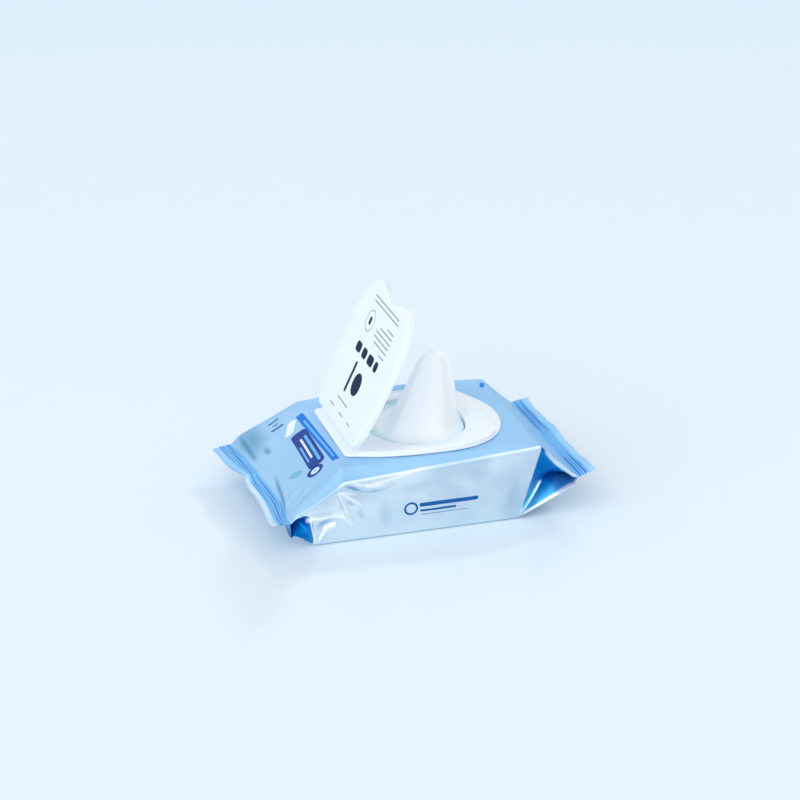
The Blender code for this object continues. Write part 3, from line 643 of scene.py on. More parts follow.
def paintPouch(obj, points, x, y, z, marks, ups, u, s, side):
    # what the material reads: the films, the gussets' painted shade, the seals, painted highlights and painted
    # shade in folds
    near, onSide, unsealed = y < 0, marks == 1, s == 0
    nearLeft, nearRight = near & (side < 0), near & (side > 0)
    # where the gussets' painted shade and painted reflection lie
    tall = np.maximum(z.max(axis=1, keepdims=True) - z.min(axis=1, keepdims=True), 14.0)
    edge = np.where(nearLeft, gussetLine(ups), 0.004)
    strip = np.where(nearRight, smooth((u - 0.10) / 0.4), 1.0)
    gusset = smooth((u - edge) / 0.02 + 0.5) * np.where(nearLeft, 1.0, smooth((ups * tall - 1.0) / 0.6))
    gusset = gusset * smooth(((1 - ups) * tall - strip) / 0.5 + 1 - strip)
    apex = (marks == 1.5) & nearRight
    gusset = gusset * (onSide + apex * (1 - smooth((u - 0.06) / 0.12))) * unsealed * (side != 0)
    # the near left one's painted shade also shows round the bottom's corner and a little under it
    under = (marks < 1) & nearLeft & unsealed
    gusset = np.maximum(gusset, under * smooth((-y - 44) / 4) * smooth((u - 0.86) / 0.04))
    lowCorner = (marks == 0.5) & nearLeft & unsealed
    gusset = np.maximum(gusset, lowCorner * smooth((u - edge) / 0.02 + 0.5))
    # how dark the gussets' painted shade is: on the near left darker further out, elsewhere darkest a little
    # below the top edge
    shadeDepth = 1 - 0.9 * np.abs(ups - 0.80 + 0.25 * u) / 0.62 - 0.50 * smooth((u - 0.42) / 0.3)
    shadeDepth = np.where(nearLeft, 0.06 + 0.58 * u, shadeDepth)
    shadeDepth = shadeDepth - 0.35 * (onSide & nearRight) * smooth((ups / 1.75 - u + 0.04) / 0.10)

    # painted highlights along the near side's creases and top edge
    paintedHighlight = sum(k * fold(x, z, a, b, w, 1.0, fade=0.16) for a, b, w, k in sideHighlights)
    paintedHighlight = np.clip(paintedHighlight, 0, 1) * (near & (marks >= 1) & (marks <= 1.5) & (side <= 0))
    # and a painted highlight along the near right gusset's ridge
    ridgeHighlight = fold(u, ups, (0.015, 0.03), (0.27, 0.47), 0.020 + 0.13 * u, 1.0, fade=0.22)
    paintedHighlight = np.maximum(paintedHighlight, (onSide & nearRight) * ridgeHighlight)
    # the pale strip along the gussets' lower edge, where side film shows with half a painted highlight,
    # measured over the film from the bottom's corner
    steps = np.linalg.norm(np.diff(points, axis=1, append=points[:, :1]), axis=-1)
    back = np.cumsum(steps[:, ::-1], axis=1)[:, ::-1]
    fromEdge = back - np.where(onSide & near, back, np.inf).min(axis=1, keepdims=True)
    rightEdge = smooth((2.0 - fromEdge) / 0.7) * (onSide & near)
    lowEdge = np.where(side > 0, rightEdge, smooth((-1.9 - fromEdge) / 0.5) * lowCorner)
    lowEdge = lowEdge * smooth((u - 0.03) / 0.05) * unsealed
    gusset = gusset * (1 - lowEdge)

    shade = sum(k * spot(x, z, c, r, turn) for c, r, turn, k in sideShades)
    shade = np.clip(shade, 0, 1) * (near & onSide & ((side <= 0) | (u < 0.02))) * (1 - gusset)
    topShade = sum(k * fold(x, y, a, b, 0.8 * w, 1.0) for a, b, w, _, k in topCreases)
    topShade += sum(k * spot(x, y, c, r, turn) for c, r, turn, k in topShades)
    # how much painted shade lies in each rib's groove: on the right seal most where it bends, on the left one
    # by turns
    phase, inBand = ribPhase(s)
    line = np.floor(phase + 0.5)
    rightLines = 1.1 * np.maximum(hump((y - 34) / 36), hump((y + 46) / 28)) * np.where(line % 2 == 1, 1.0, 0.35)
    leftLines = 0.50 + 0.30 * np.sin(0.09 * y + 2.2 * line + 0.7)
    strength = np.clip(np.where(side > 0, 0.25 + rightLines, leftLines), 0, 1)
    leftRim = (marks == 1.5) & nearLeft
    layers = {
        "topFilm": np.where(leftRim, 0.3 + 0.5 * smooth(u / 0.2), smooth(marks - 1.2)),
        "gusset": gusset,
        "gussetShadeDepth": np.clip(shadeDepth, 0, 1),
        "sealBand": np.where(s > 0, 1.0, smooth((u - 0.97) / 0.03)),
        "ribGrooveShade": (0.5 + 0.5 * np.cos(2 * np.pi * phase)) * inBand * (s > 0.02) * strength,
        "outerBand": smooth((s - pouch["ribBand"]) / 0.12),
        "paintedHighlight": np.maximum(paintedHighlight, 0.5 * lowEdge),
        "shade": shade + np.clip(topShade, 0, 1) * (marks == 2) * unsealed,
    }
    for name, values in layers.items():
        paint(obj, name, values)


# the film's colours, with painted shade, painted highlight and painted reflection tones among them
film = {
    "top": (142, 194, 236), "topLeftShade": (150, 194, 230), "side": (228, 240, 248), "sideLowShade": (218, 234, 243),
    "sideShade": (104, 160, 202), "topShade": (100, 152, 186), "paintedHighlight": (253, 254, 255),
    "gussetShadeLight": (70, 158, 214), "gussetShadeMid": (0, 112, 188), "gussetShadeDark": (0, 62, 146),
    "seal": (130, 194, 242), "sealOuterReflection": (156, 204, 244), "sealPaleReflection": (206, 228, 248), "rib": (0, 92, 182),
    "band": (0, 108, 214), "block": (0, 34, 132), "white": (236, 242, 250), "teal": (116, 182, 210),
    "ink": (30, 84, 146), "glow": (110, 190, 250),
    "spot": (0, 120, 210), "sideMark": (40, 104, 172), "sideLine": (140, 165, 195), "shine": 0.02,
}


def filmFinish():
    # each painted layer lays its own colour over the last: films, gussets in painted shade, seals, painted
    # highlights, then the print
    m = Shader(bpy.data.materials.new("blue_foil"))
    tone = {name: colour(value) for name, value in film.items() if name != "shine"}
    x, y, z = m.place()
    top, gusset, shadeDepth = m.painted("topFilm"), m.painted("gusset"), m.painted("gussetShadeDepth")
    seal, rib, outer = m.painted("sealBand"), m.painted("ribGrooveShade"), m.painted("outerBand")
    paintedHighlight, shade = m.painted("paintedHighlight"), m.painted("shade")
    cloud = m.noise(22.0, 2.0)
    # painted shade from the open lid: the top film greyer towards its left end
    topColour = m.mix(m.rise(x, -95.0, -30.0), tone["topLeftShade"], tone["top"])
    topColour = m.mix(shade, topColour, tone["topShade"])
    # painted shade: the side darker towards the bottom
    sideColour = m.mix(m.rise(z, 2.0, 26.0), tone["sideLowShade"], tone["side"])
    sideColour = m.mix(0.35 * m.rise(cloud, 0.45, 0.7), sideColour, tone["sideShade"])
    sideColour = m.mix(shade, sideColour, tone["sideShade"])
    base = m.mix(top, sideColour, topColour)
    # the gussets: blue film in painted shade and painted reflection, darker where the shade is deeper
    deep = m.mix(m.rise(shadeDepth, 0.0, 0.5), tone["gussetShadeLight"], tone["gussetShadeMid"])
    deep = m.mix(m.rise(shadeDepth, 0.5, 1.0), deep, tone["gussetShadeDark"])
    base = m.mix(gusset, base, deep)
    # painted reflection: the seals' flat outer band lighter, palest on the near half of the left seal
    outerColour = m.mix(m.rise(x, -95.0, -85.0), tone["sealPaleReflection"], tone["sealOuterReflection"])
    outerColour = m.mix(m.rise(y, -4.0, 8.0), outerColour, tone["sealOuterReflection"])
    sealColour = m.mix(outer, tone["seal"], outerColour)
    # the seals, with painted shade in the ribs' grooves
    base = m.mix(seal, base, m.mix(rib, sealColour, tone["rib"]))
    # the painted highlights
    base = m.mix(paintedHighlight, base, tone["paintedHighlight"])

    # printed marks on the top film, behind the cap: plain bars and rings
    onTop = top * (1.0 - seal)
    slant = x + 0.045 * y
    layers = [
        ("band", m.bar(slant, y, (-51.2, 0.5), (4.2, 72.0), 0.5)),
        ("glow", m.bar(slant, y, (-51.2, -2.0), (1.1, 58.0), 0.5)),
        ("block", m.bar(x, y, (-58.4, -4.0), (9.4, 46.0), 3.0)),
        ("glow", m.bar(x, y, (-56.2, -6.0), (1.5, 34.0), 0.7)),
        ("white", m.bar(x, y, (-59.0, -3.0), (1.2, 26.0), 0.6)),
        ("glow", m.bar(x, y, (-61.4, -8.0), (1.0, 20.0), 0.5)),
        ("white", m.bar(x - 0.42 * y, y, (-72.2, 28.5), (5.4, 13.0), 2.6)),
        ("block", m.ring(x, y, (-61.0, -30.5), 3.6, 2.0)),
        ("white", m.ring(x, y, (-61.0, -30.5), 1.7, 0.9)),
        ("teal", m.bar(x + 0.4 * y, y, (-78.2, -20.6), (7.0, 6.0), 2.8)),
        ("ink", m.bar(x, y, (-66.4, 47.0), (6.5, 1.5), 0.6)),
        ("ink", m.bar(x, y, (-66.2, 38.0), (7.5, 1.9), 0.8)),
        ("ink", m.bar(x, y, (-66.2, 42.5), (3.5, 1.2), 0.5)),
        ("spot", m.bar(x - 0.3 * y, y, (53.0, 44.6), (3.0, 7.5), 1.4)),
    ]
    for name, mask in layers:
        base = m.mix(onTop * mask, base, tone[name])

    # and on the near side: a ring, two bars and a fine line
    nearSide = (1.0 - top) * (1.0 - m.rise(y, -45.0, -40.0)) * (1.0 - gusset)
    marks = m.most(m.ring(x, z, (-10.5, 16.4), 3.6, 1.3), m.bar(x, z, (12.5, 18.2), (36.0, 2.6), 1.2))
    marks = m.most(marks, m.bar(x, z, (6.0, 14.4), (22.0, 1.4), 0.6))
    base = m.mix(nearSide * marks, base, tone["sideMark"])
    base = m.mix(nearSide * m.bar(x, z, (10.0, 11.8), (28.0, 0.6), 0.25), base, tone["sideLine"])

    roughness = 0.30 + 0.08 * cloud + 0.10 * top
    metallic = (0.70 - 0.50 * top) * (1.0 - 0.6 * paintedHighlight)
    crinkle = m.bump(m.noise(60.0, 3.0, 0.55, (0.6, 1.0, 1.0)), 0.0008, 0.35)
    return m.finish(Base_Color=base, Roughness=roughness, Metallic=metallic, Normal=crinkle,
                    Specular_IOR_Level=film["shine"])


# Cap: outlines shared by its base and lid

cap = {
    "width": 90.0, "frontX": 60.0, "backX": -44.3, "widestX": 14.0, "backReach": 81.4, "curve": 2.54,
    "flangeBottom": 44.9, "flangeTop": 46.0, "platformTop": 47.2, "beadTop": 47.9, "beadWidth": 1.4,
    "ledge": 0.6, "backCorner": 5.0, "platformFront": 51.5, "throat": (8.0, 30.5, 36.2), "lipWidth": 3.0,
    "throatLevel": 46.7, "collarBottom": 43.0, "collarWall": 0.8, "margin": 3.5, "relief": 0.7,
    "hingeX": -37.0, "hingeZ": 48.05, "hingeLip": 0.4, "hingeWidth": 56.0, "openDeg": 64.7,
    "scallopWidth": 52.0, "softEdge": 0.25, "flangeRound": 0.45, "platformFoot": 0.35,
    "lipRound": 0.8, "frontBead": 0.15,
    "catchLow": (41.5, -6.0, -0.8), "catchHigh": (42.9, 6.0, 1.6),      # from the platform's level
    "around": 320,
}


def eggHalfWidth(x):
    # the cap's half width at x: a super-ellipse to the front and a longer one to the back
    reach = np.where(x > cap["widestX"], cap["frontX"] - cap["widestX"], cap["backReach"])
    share = np.minimum(np.abs(x - cap["widestX"]) / reach, 1.0)
    return 0.5 * cap["width"] * np.sqrt(np.maximum(1 - share ** cap["curve"], 0.0))


def bend(start, corner, end, steps=24):
    # quadratic curve from start to end, pulled towards corner
    t = np.linspace(0, 1, steps)[:, None]
    return (1 - t) ** 2 * np.array(start) + 2 * t * (1 - t) * np.array(corner) + t * t * np.array(end)


def flangeOutline():
    # the far half of the flange's outline: straight at the back, round the corner and along the egg
    corner, back = cap["backCorner"], cap["backX"]
    width = eggHalfWidth(back + corner)
    turn = bend((back, width - corner), (back, width), (back + corner, width))
    x = back + corner + (cap["frontX"] - back - corner) * np.sin(np.linspace(0, np.pi / 2, 200)[1:])
    return np.concatenate([[(back, 0.0)], turn, np.stack([x, eggHalfWidth(x)], axis=1)])


def cappedOutline(backX, frontX, frontRound, scallop=0.0):
    # the far half of the egg, set in from the flange, with round corners where it is cut straight at the
    # back and front; a scallop hollows the front by a cosine's width
    inset, backRound = cap["ledge"], cap["backCorner"]
    backHalf, frontHalf = eggHalfWidth(backX + backRound) - inset, eggHalfWidth(frontX) - inset
    turn = bend((backX, backHalf - backRound), (backX, backHalf), (backX + backRound, backHalf))
    x = np.linspace(backX + backRound, frontX - frontRound, 160)[1:-1]
    along = np.stack([x, eggHalfWidth(x) - inset], axis=1)
    start = (frontX - frontRound, eggHalfWidth(frontX - frontRound) - inset)
    end = (frontX, frontHalf - frontRound)
    y = np.linspace(end[1], 0, 60)[1:]
    hollow = 0.5 * (1 + np.cos(np.pi * np.minimum(np.abs(y) / (cap["scallopWidth"] / 2), 1.0)))
    front = np.stack([frontX - scallop * hollow, y], axis=1)
    return np.concatenate([[(backX, 0.0)], turn, along, bend(start, (frontX, frontHalf), end), front])


def directions():
    # evenly spaced, seen from the throat's middle
    return 2 * np.pi * (np.arange(cap["around"]) + 0.5) / cap["around"]


def reachOf(outline):
    # distance from the throat's middle to an outline, for every direction
    full = np.concatenate([outline, outline[-2:0:-1] * (1, -1), outline[:1]])
    share = np.linspace(0, 1, 24, endpoint=False)[None, :, None]
    full = (full[:-1, None] * (1 - share) + full[1:, None] * share).reshape(-1, 2)
    dx, dy = full[:, 0] - cap["throat"][0], full[:, 1]
    angle, reach = np.arctan2(dy, dx) % (2 * np.pi), np.hypot(dx, dy)
    order = np.argsort(angle)
    return np.interp(directions(), angle[order], reach[order], period=2 * np.pi)


def throatReach(grow):
    # distance to the throat's ellipse, grown all round, for every direction
    a, b = cap["throat"][1] + grow, cap["throat"][2] + grow
    angle = directions()
    return a * b / np.hypot(b * np.cos(angle), a * np.sin(angle))


def quarter(steps):
    # angles of a quarter turn
    return np.linspace(0, np.pi / 2, steps)


def ringRows(profile):
    # rings round the throat's middle, one for each pair of reach and level
    angle = directions()
    x = [cap["throat"][0] + reach * np.cos(angle) for reach, z in profile]
    y = [reach * np.sin(angle) for reach, z in profile]
    return np.stack([x, y, [z + 0 * angle for reach, z in profile]], axis=-1)


def endRings(rows, columns):
    # the point numbers of the first and last ring, each in the order that faces outwards
    return [list(range(columns))[::-1], list(range((rows - 1) * columns, rows * columns))]


def hingeBar(bottom):
    # the web between base and lid, of which each carries half
    low = (cap["hingeX"] + 0.12, -cap["hingeWidth"] / 2, bottom)
    return roundedBlock(low, (cap["hingeX"] + 1.1, cap["hingeWidth"] / 2, bottom + 0.5), 0.15)


def makeBase(material):
    # rings from the flange's lower edge up and over to the throat, down its collar and back underneath
    flange = reachOf(flangeOutline())
    platform = reachOf(cappedOutline(cap["hingeX"] + cap["hingeLip"], cap["platformFront"], cap["backCorner"]))
    low, step, plate, level = cap["flangeBottom"], cap["flangeTop"], cap["platformTop"], cap["throatLevel"]
    soft, rim, foot, lipRound = cap["softEdge"], cap["flangeRound"], cap["platformFoot"], cap["lipRound"]
    profile = [(flange - soft, low), (flange, low + soft)]
    profile += [(flange - rim * (1 - np.cos(a)), step - rim * (1 - np.sin(a))) for a in quarter(5)]
    profile += [(platform + foot * (1 - np.sin(a)), step + foot * (1 - np.cos(a))) for a in quarter(4)]
    # the bead round the platform, lower at the front: up its outer side, over its top and down again
    frontX = cap["throat"][0] + platform * np.cos(directions())
    share = 1 - (1 - cap["frontBead"]) * smooth((frontX - cap["platformFront"] + 5) / 3)
    bead, width = (cap["beadTop"] - plate) * share, cap["beadWidth"]
    for a in np.linspace(0, np.pi, 12):
        profile.append((platform - width / 2 * (1 - np.cos(a)), plate - 0.2 + (bead + 0.2) * np.sin(a)))
    profile += [(platform - width - 0.2, plate), (platform - width - 1.2, plate)]
    # down the lip round the throat, and down and up the collar that stands in the film's hole
    lip = throatReach(cap["lipWidth"])
    profile += [(lip + 0.5, plate), (lip, plate - 0.12), (lip - 0.8, level + 0.05), (throatReach(1.0), level)]
    for a in quarter(7):
        profile.append((throatReach(lipRound * (1 - np.sin(a))), level - lipRound * (1 - np.cos(a))))
    bottom, wall, margin, relief = cap["collarBottom"], cap["collarWall"], cap["margin"], low + cap["relief"]
    profile += [(throatReach(0), bottom + 0.2), (throatReach(0.2), bottom)]
    profile += [(throatReach(wall - 0.2), bottom), (throatReach(wall), bottom + 0.2), (throatReach(wall), low)]
    # the underside is let in between its two seats on the film
    profile += [(throatReach(margin), low), (throatReach(margin + 0.2), relief)]
    profile += [(platform - margin - 0.2, relief), (platform - margin, low)]
    body = (ringRows(profile), gridFaces(len(profile), cap["around"], closeRows=True, closeColumns=True), [])
    lift = np.array((0, 0, plate))
    catch = roundedBlock(cap["catchLow"] + lift, cap["catchHigh"] + lift, 0.45)
    points, faces, caps = mergePieces([body, hingeBar(cap["beadTop"] - 0.5), catch])
    obj = makePiece("cap_base", points, faces, material, "pack", caps)
    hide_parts("lid_base")


def roundedBlock(low, high, radius):
    # a block whose level outline and top and bottom edges are rounded: rings from bottom to top
    low, high = np.array(low, float), np.array(high, float)
    corner = quarter(4)
    signs = [(1, 1, 0), (-1, 1, 1), (-1, -1, 2), (1, -1, 3)]
    middle, half = (low + high) / 2, (high - low) / 2
    rows = []
    for turn in np.linspace(-np.pi / 2, np.pi / 2, 8):
        inset = radius * (1 - np.cos(turn))
        z = (low[2] + radius if turn < 0 else high[2] - radius) + radius * np.sin(turn)
        ring = []
        for sx, sy, k in signs:
            angle = corner + k * np.pi / 2
            ring.append(np.stack([
                middle[0] + sx * (half[0] - radius) + (radius - inset) * np.cos(angle),
                middle[1] + sy * (half[1] - radius) + (radius - inset) * np.sin(angle),
                z + 0 * angle], axis=-1))
        rows.append(np.concatenate(ring))
    count = len(rows[0])
    return np.stack(rows), gridFaces(len(rows), count, closeColumns=True), endRings(len(rows), count)


lid = {
    "backGap": 0.5, "front": 49.7, "scallop": 5.0, "corner": 6.5, "top": 52.5, "bottom": 48.2, "wall": 1.2,
    "edge": 0.7, "ringGap": 0.6, "ringWall": 1.0, "ringLow": 45.9,
}


def makeLid(material):
    # drawn shut and then turned about the hinge, as rings from the middle of its top round to its underside
    reach = reachOf(cappedOutline(cap["hingeX"] + lid["backGap"], lid["front"], lid["corner"], lid["scallop"]))
    edge, top, bottom, wall, soft = lid["edge"], lid["top"], lid["bottom"], lid["wall"], cap["softEdge"]
    profile = [((reach - edge) * share, top) for share in (0.02, 0.2, 0.4, 0.6, 0.8, 0.93)]
    profile += [(reach - edge * (1 - np.sin(a)), top - edge * (1 - np.cos(a))) for a in quarter(7)]
    profile += [(reach, bottom + soft), (reach - soft, bottom)]
    profile += [(reach - wall + soft, bottom), (reach - wall, bottom + soft)]
    under = top - wall
    profile += [(reach - wall - 0.4 * (1 - np.cos(a)), under - 0.4 * (1 - np.sin(a))) for a in quarter(4)]
    # the ring that plugs the throat
    outer, inner = throatReach(-lid["ringGap"]), throatReach(-lid["ringGap"] - lid["ringWall"])
    foot = lid["ringLow"]
    profile += [(outer + 0.3, under), (outer, under - 0.3), (outer, foot + 0.2), (outer - 0.2, foot)]
    profile += [(inner + 0.2, foot), (inner, foot + 0.2), (inner, under - 0.3), (inner - 0.3, under)]
    profile += [(inner * share, under) for share in (0.6, 0.2, 0.02)]
    rows, columns = len(profile), cap["around"]
    body = (ringRows(profile), gridFaces(rows, columns, closeColumns=True), endRings(rows, columns))
    points, faces, caps = mergePieces([body, hingeBar(bottom)])
    turn = math.radians(cap["openDeg"])
    x, z = points[:, 0] - cap["hingeX"], points[:, 2] - cap["hingeZ"]
    opened = np.stack([
        cap["hingeX"] + x * math.cos(turn) - z * math.sin(turn),
        points[:, 1],
        cap["hingeZ"] + x * math.sin(turn) + z * math.cos(turn)], axis=-1)
    obj = makePiece("flip_lid_shell", opened, faces, material, "flip_lid", caps)
    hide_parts("lid")


plastic = {
    "base": (235, 243, 251), "lid": (235, 244, 255), "face": (222, 236, 250), "navy": (6, 26, 60),
    "grey": (128, 142, 160), "roughness": 0.34, "lidShine": 0.10, "baseShine": 0.22,
}

# dark bars and a disc on the lid: middle as (up from the hinge, across), size and corner radius
lidMarks = [
    ((29.5, 7.5), (20.0, 3.2), 1.5), ((29.0, -5.0), (14.0, 13.0), 6.4), ((46.5, 14.5), (6.2, 9.0), 2.2),
    ((46.5, 3.0), (6.2, 8.0), 2.2), ((46.5, -9.0), (6.2, 10.0), 2.2), ((46.5, -19.5), (6.2, 6.0), 2.2),
    ((63.5, 15.0), (5.0, 3.6), 1.5),
]

# and fine grey lines: up from the hinge, middle across and length
lidLines = [
    (8.0, 16.0, 8.0), (8.0, -2.0, 8.0), (8.0, -18.0, 6.0), (14.5, 3.0, 20.0), (53.0, -21.0, 10.0),
    (56.5, -14.0, 24.0), (59.5, -12.0, 27.0), (62.5, -12.0, 27.0), (65.5, -14.0, 22.0),
    (68.5, -19.0, 12.0), (75.0, -2.0, 46.0), (77.8, 0.0, 46.0),
]


def plasticFinish(name, part):
    # white plastic, barely mottled and finely grained; the lid also carries the print on its outer face
    m = Shader(bpy.data.materials.new(name))
    lighter = [min(value + 5, 255) for value in plastic[part]]
    base = m.mix(m.noise(38.0, 2.0), colour(plastic[part]), colour(lighter))
    if part == "lid":
        # u runs up the open lid from the hinge, v across it and w out of its face
        turn = math.radians(cap["openDeg"])
        u, v, w = m.place((cap["hingeX"] * mm, 0, cap["hingeZ"] * mm), (0, -turn, 0))
        face = m.rise(w, 3.9, 4.2)
        navy = reduce(m.most, [m.bar(u, v, *mark) for mark in lidMarks])
        lines = [m.bar(u, v, (place, middle), (0.9, length), 0.4) for place, middle, length in lidLines]
        grey = reduce(m.most, [m.ring(u, v, lidMarks[-1][0], 6.4, 0.7)] + lines)
        base = m.mix(0.4 * face, base, colour(plastic["face"]))
        base = m.mix(face * navy, base, colour(plastic["navy"]))
        base = m.mix(0.85 * face * grey, base, colour(plastic["grey"]))
    grain = m.bump(m.noise(900.0, 2.0), 0.00004, 0.5)
    roughness = plastic["roughness"] + 0.08 * m.noise(60.0, 2.0)
    return m.finish(Base_Color=base, Roughness=roughness, Normal=grain,
                    Specular_IOR_Level=plastic[part + "Shine"])


# Pads

pads = {
    "count": 28, "lowX": -52.25, "highX": 49.95, "half": 50.0, "thick": 0.95, "pitch": 1.25, "bottom": 1.1,
    "cloth": 0.40, "grid": (44, 16), "topGrid": (120, 60),      # steps along and across
}


def foldedPad(number):
    # a strip folded once, carried along its side view: out along the bottom, round and back along the top
    steps, across = pads["topGrid" if number == pads["count"] - 1 else "grid"]
    radius = (pads["thick"] - pads["cloth"]) / 2
    flatRun = pads["highX"] - pads["lowX"] - pads["thick"] / 2
    arc = np.pi * radius
    run = np.concatenate([np.linspace(0, flatRun, steps // 2), flatRun + arc * np.linspace(0.1, 0.9, 9),
                          flatRun + arc + np.linspace(0, flatRun, steps // 2)])
    turn = np.clip((run - flatRun) / arc, 0, 1) * np.pi
    back = np.where(run > flatRun + arc, 2 * flatRun + arc - run, flatRun)
    x = pads["lowX"] + np.where(run < flatRun, run, back) + radius * np.sin(turn)
    z = pads["thick"] / 2 - radius * np.cos(turn)
    if number % 2 == 0:
        x = pads["lowX"] + pads["highX"] - x
    y = np.linspace(-pads["half"], pads["half"], across)
    gridX = x[:, None] + 0.25 * np.sin(0.21 * y[None, :] + number)
    gridY = y[None, :] + 0.25 * np.sin(0.17 * x[:, None] + 2 * number)
    wave = 0.07 * np.sin(0.11 * gridX + 1.3 * number) * np.cos(0.13 * gridY + 0.7 * number)
    gridZ = pads["bottom"] + number * pads["pitch"] + z[:, None] + wave
    return np.stack([gridX, gridY, gridZ], axis=-1)


def thicken(obj, wall):
    # the sheet's wall in millimetres, half to each side
    modifier = obj.modifiers.new("Cloth", "SOLIDIFY")
    modifier.thickness = wall * mm
    modifier.offset = 0


def makePads(material):
    # the stack, from the bottom up, each on the one below
    for number in range(pads["count"]):
        grid = foldedPad(number)
        name = f"pad_{number + 1:02d}"
        faces = gridFaces(*grid.shape[:2])
        obj = makePiece(f"cloth_{name}", grid, faces, material, "pack")
        thicken(obj, 0.9 * pads["cloth"])
        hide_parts(name)


drawn = {
    "foot": 36.75, "top": 90.6, "backFoot": -14.2, "frontFoot": 34.8, "halfFoot": 19.0, "narrowing": 0.64,
    "lean": 27.8, "leanPower": 0.87, "frontDraw": 5.3, "tipShare": 0.2, "tipBack": 4.7, "tipFront": 5.7,
    "tipNarrowing": 0.44, "brimHalfX": 49.5, "brimHalfY": 48.5, "brimX": -1.1, "cloth": 0.35,
    "mouthHeight": 7.6, "footReach": 0.94, "hemShare": 0.88, "hemDrop": 0.45,
    "around": 420, "rise": 96, "brimRows": 72, "hemRows": 8,
    # broad folds of the cone: direction, half width and height
    "folds": ((3.84, 0.42, 2.0), (3.30, 0.50, -2.2), (4.95, 0.60, 0.9), (5.60, 0.35, -1.0)),
}


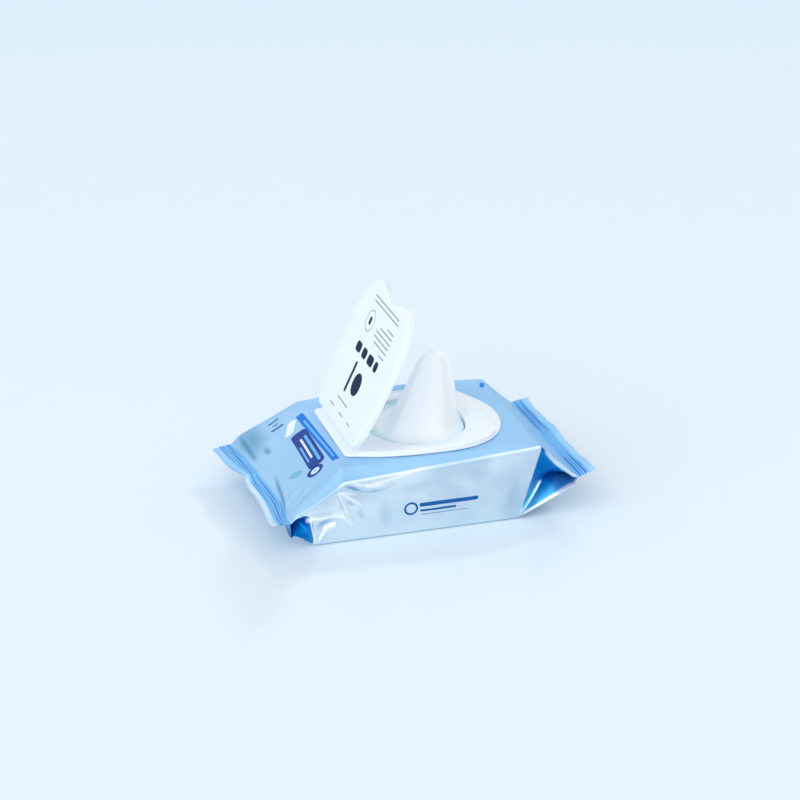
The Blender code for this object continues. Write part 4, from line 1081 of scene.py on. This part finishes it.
def drawnPadShape():
    # a sheet pinched in the middle: it lies on the stack, swells up in the throat and rises in a pleated cone
    angle = np.linspace(0, 2 * np.pi, drawn["around"], endpoint=False)[None, :]
    h = np.linspace(0, 1, drawn["rise"])[:, None]
    tip = np.clip((h - 1 + drawn["tipShare"]) / drawn["tipShare"], 0, 1)
    back = drawn["backFoot"] + drawn["lean"] * h ** drawn["leanPower"] + drawn["tipBack"] * tip ** 3
    front = drawn["frontFoot"] - drawn["frontDraw"] * h ** 1.8 - drawn["tipFront"] * tip ** 2
    halfX, midX = (front - back) / 2, (front + back) / 2
    halfY = drawn["halfFoot"] * (1 - drawn["narrowing"] * smooth(h)) * (1 - drawn["tipNarrowing"] * tip ** 2)
    # pleats: a few broad folds of unlike width, sharper where they stand out, gathered towards the tip
    pleats = 0.9 * np.cos(5 * angle + 0.9 + 1.1 * h) + 0.6 * np.cos(9 * angle - 1.2 + 0.7 * h)
    pleats = pleats + 0.7 * np.abs(np.cos(3.5 * angle + 2.1 * h)) + 0.25 * np.cos(17 * angle + 3 * h)
    pleats = pleats + sum(tall * hump((angle - middle) / half) for middle, half, tall in drawn["folds"])
    size = 0.75 * np.sin(np.pi * (0.16 + 0.70 * h)) * (1 - 0.5 * tip)
    x = midX + (halfX - 0.4 + size * pleats) * np.cos(angle)
    y = (halfY - 0.4 + size * pleats) * np.sin(angle)
    z = drawn["foot"] + (drawn["top"] - drawn["foot"]) * h + 0 * angle
    # the top turns over in a soft dome, and the foot spreads into the swelling round it
    shrink = 1 - 0.5 * smooth((h - 0.95) / 0.05)
    spread = 1 + 0.42 * (1 - smooth(h / 0.34)) ** 2
    x = midX + (x - midX) * shrink * spread
    y = y * shrink * spread
    throatX, throatA, throatB = cap["throat"]
    # and stays within the throat's wall
    share = np.hypot((x - throatX) / throatA, y / throatB)
    kept = np.minimum(1, drawn["footReach"] / np.maximum(share, 0.1))
    x, y = throatX + (x - throatX) * kept, y * kept
    rooted = smooth(h / 0.24)
    cone = np.stack([x, y, z * rooted + (drawn["foot"] + drawn["mouthHeight"]) * (1 - rooted)], axis=-1)

    # the brim: from the cone's foot out to the sheet's square edge, high in the throat and level beyond it
    reach = np.minimum(drawn["brimHalfX"] / np.maximum(np.abs(np.cos(angle)), 1e-6),
                       drawn["brimHalfY"] / np.maximum(np.abs(np.sin(angle)), 1e-6))
    out = np.linspace(1, 0, drawn["brimRows"], endpoint=False)[:, None] ** 1.3
    edgeX = drawn["brimX"] + reach * np.cos(angle)
    edgeY = reach * np.sin(angle)
    footX, footY = cone[:1, :, 0], cone[:1, :, 1]
    brimX = footX + (edgeX - footX) * out
    brimY = footY + (edgeY - footY) * out
    mouth = np.hypot((brimX - throatX) / throatA, brimY / throatB)
    swell = 1 - smooth((mouth - 0.955) / 0.04)
    crease = 0.35 * np.abs(np.sin(6.5 * angle + 2 * out)) + 0.2 * np.cos(17 * angle)
    waves = 0.9 + 0.9 * np.sin(0.42 * brimX + 0.8 * np.sin(0.2 * brimY)) * np.cos(0.36 * brimY + 0.5)
    brimZ = drawn["foot"] + (drawn["mouthHeight"] + crease * (1 - out) ** 2) * swell + waves * (1 - swell)
    brim = np.stack([brimX, brimY, brimZ], axis=-1)
    # the sheet's edge is tucked back under itself
    hem = np.linspace(drawn["hemShare"], 0.992, drawn["hemRows"])[:, None]
    hemX = footX + (edgeX - footX) * hem
    hemY = footY + (edgeY - footY) * hem
    hemRows = np.stack([hemX, hemY, drawn["foot"] - drawn["hemDrop"] + 0 * hemX], axis=-1)
    grid = np.concatenate([hemRows, brim, cone])
    # painted teal shade, stronger towards the throat's rim, most of all behind and to the left, and fading
    # higher up
    share = np.hypot((grid[..., 0] - throatX) / throatA, grid[..., 1] / throatB)
    behind = smooth((grid[..., 1] - grid[..., 0] + 20) / 30)
    wet = smooth((share - 0.62) / 0.3) * (0.45 + 0.55 * behind) * (1 - smooth((grid[..., 2] - 46) / 12))
    return grid, wet


def makeDrawnPad(material):
    grid, wet = drawnPadShape()
    rows, columns = grid.shape[:2]
    faces = gridFaces(rows, columns, closeColumns=True)
    tip = endRings(rows, columns)[1:]
    obj = makePiece("cloth_drawn_pad", grid, faces, material, "pack", tip, sharpDeg=80)
    thicken(obj, drawn["cloth"])
    paint(obj, "wet", wet)
    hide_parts("lead_pad")
    return obj


cloth = {
    # the teal colour is painted shade for the cloth in the throat
    "colour": (252, 253, 254), "shade": (243, 248, 252), "wet": (140, 200, 214), "roughness": 0.62,
    "glow": (214, 230, 246), "paintedGlowLevel": 0.12,     # painted glow: emission that stands in for light scattered inside the cloth
}


def clothFinish():
    # nonwoven fibres and fine dimples in the bump, and painted teal shade where the sheet lies in the throat
    m = Shader(bpy.data.materials.new("wet_cloth"))
    mottle = m.noise(30.0, 3.0)
    base = m.mix(mottle, colour(cloth["shade"]), colour(cloth["colour"]))
    base = m.mix(m.painted("wet"), base, colour(cloth["wet"]))
    where = m.add("ShaderNodeTexCoord", output=3)
    dimples = m.add("ShaderNodeTexVoronoi", {"feature": "F1"}, {"Vector": where, "Scale": 900.0})
    fibres = m.noise(500.0, 4.0, 0.6, (1.0, 0.35, 1.0))
    height = 0.6 * fibres + 0.4 * dimples
    normal = m.bump(height, 0.00012, 0.5)
    # the emission is a painted glow
    return m.finish(Base_Color=base, Roughness=cloth["roughness"], Normal=normal, Sheen_Weight=0.25,
                    Subsurface_Weight=0.35, Subsurface_Radius=(0.005, 0.006, 0.007), Subsurface_Scale=1.0,
                    Emission_Color=colour(cloth["glow"]), Emission_Strength=cloth["paintedGlowLevel"])


makeCamera()
makeStudio()
print("camera, floor and light")
makePouch(filmFinish())
print("foil pouch")
makeBase(plasticFinish("cap_plastic", "base"))
makeLid(plasticFinish("lid_plastic", "lid"))
print("cap")
clothMaterial = clothFinish()
makePads(clothMaterial)
drawnPad = makeDrawnPad(clothMaterial)
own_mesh(drawnPad)
print("pads")
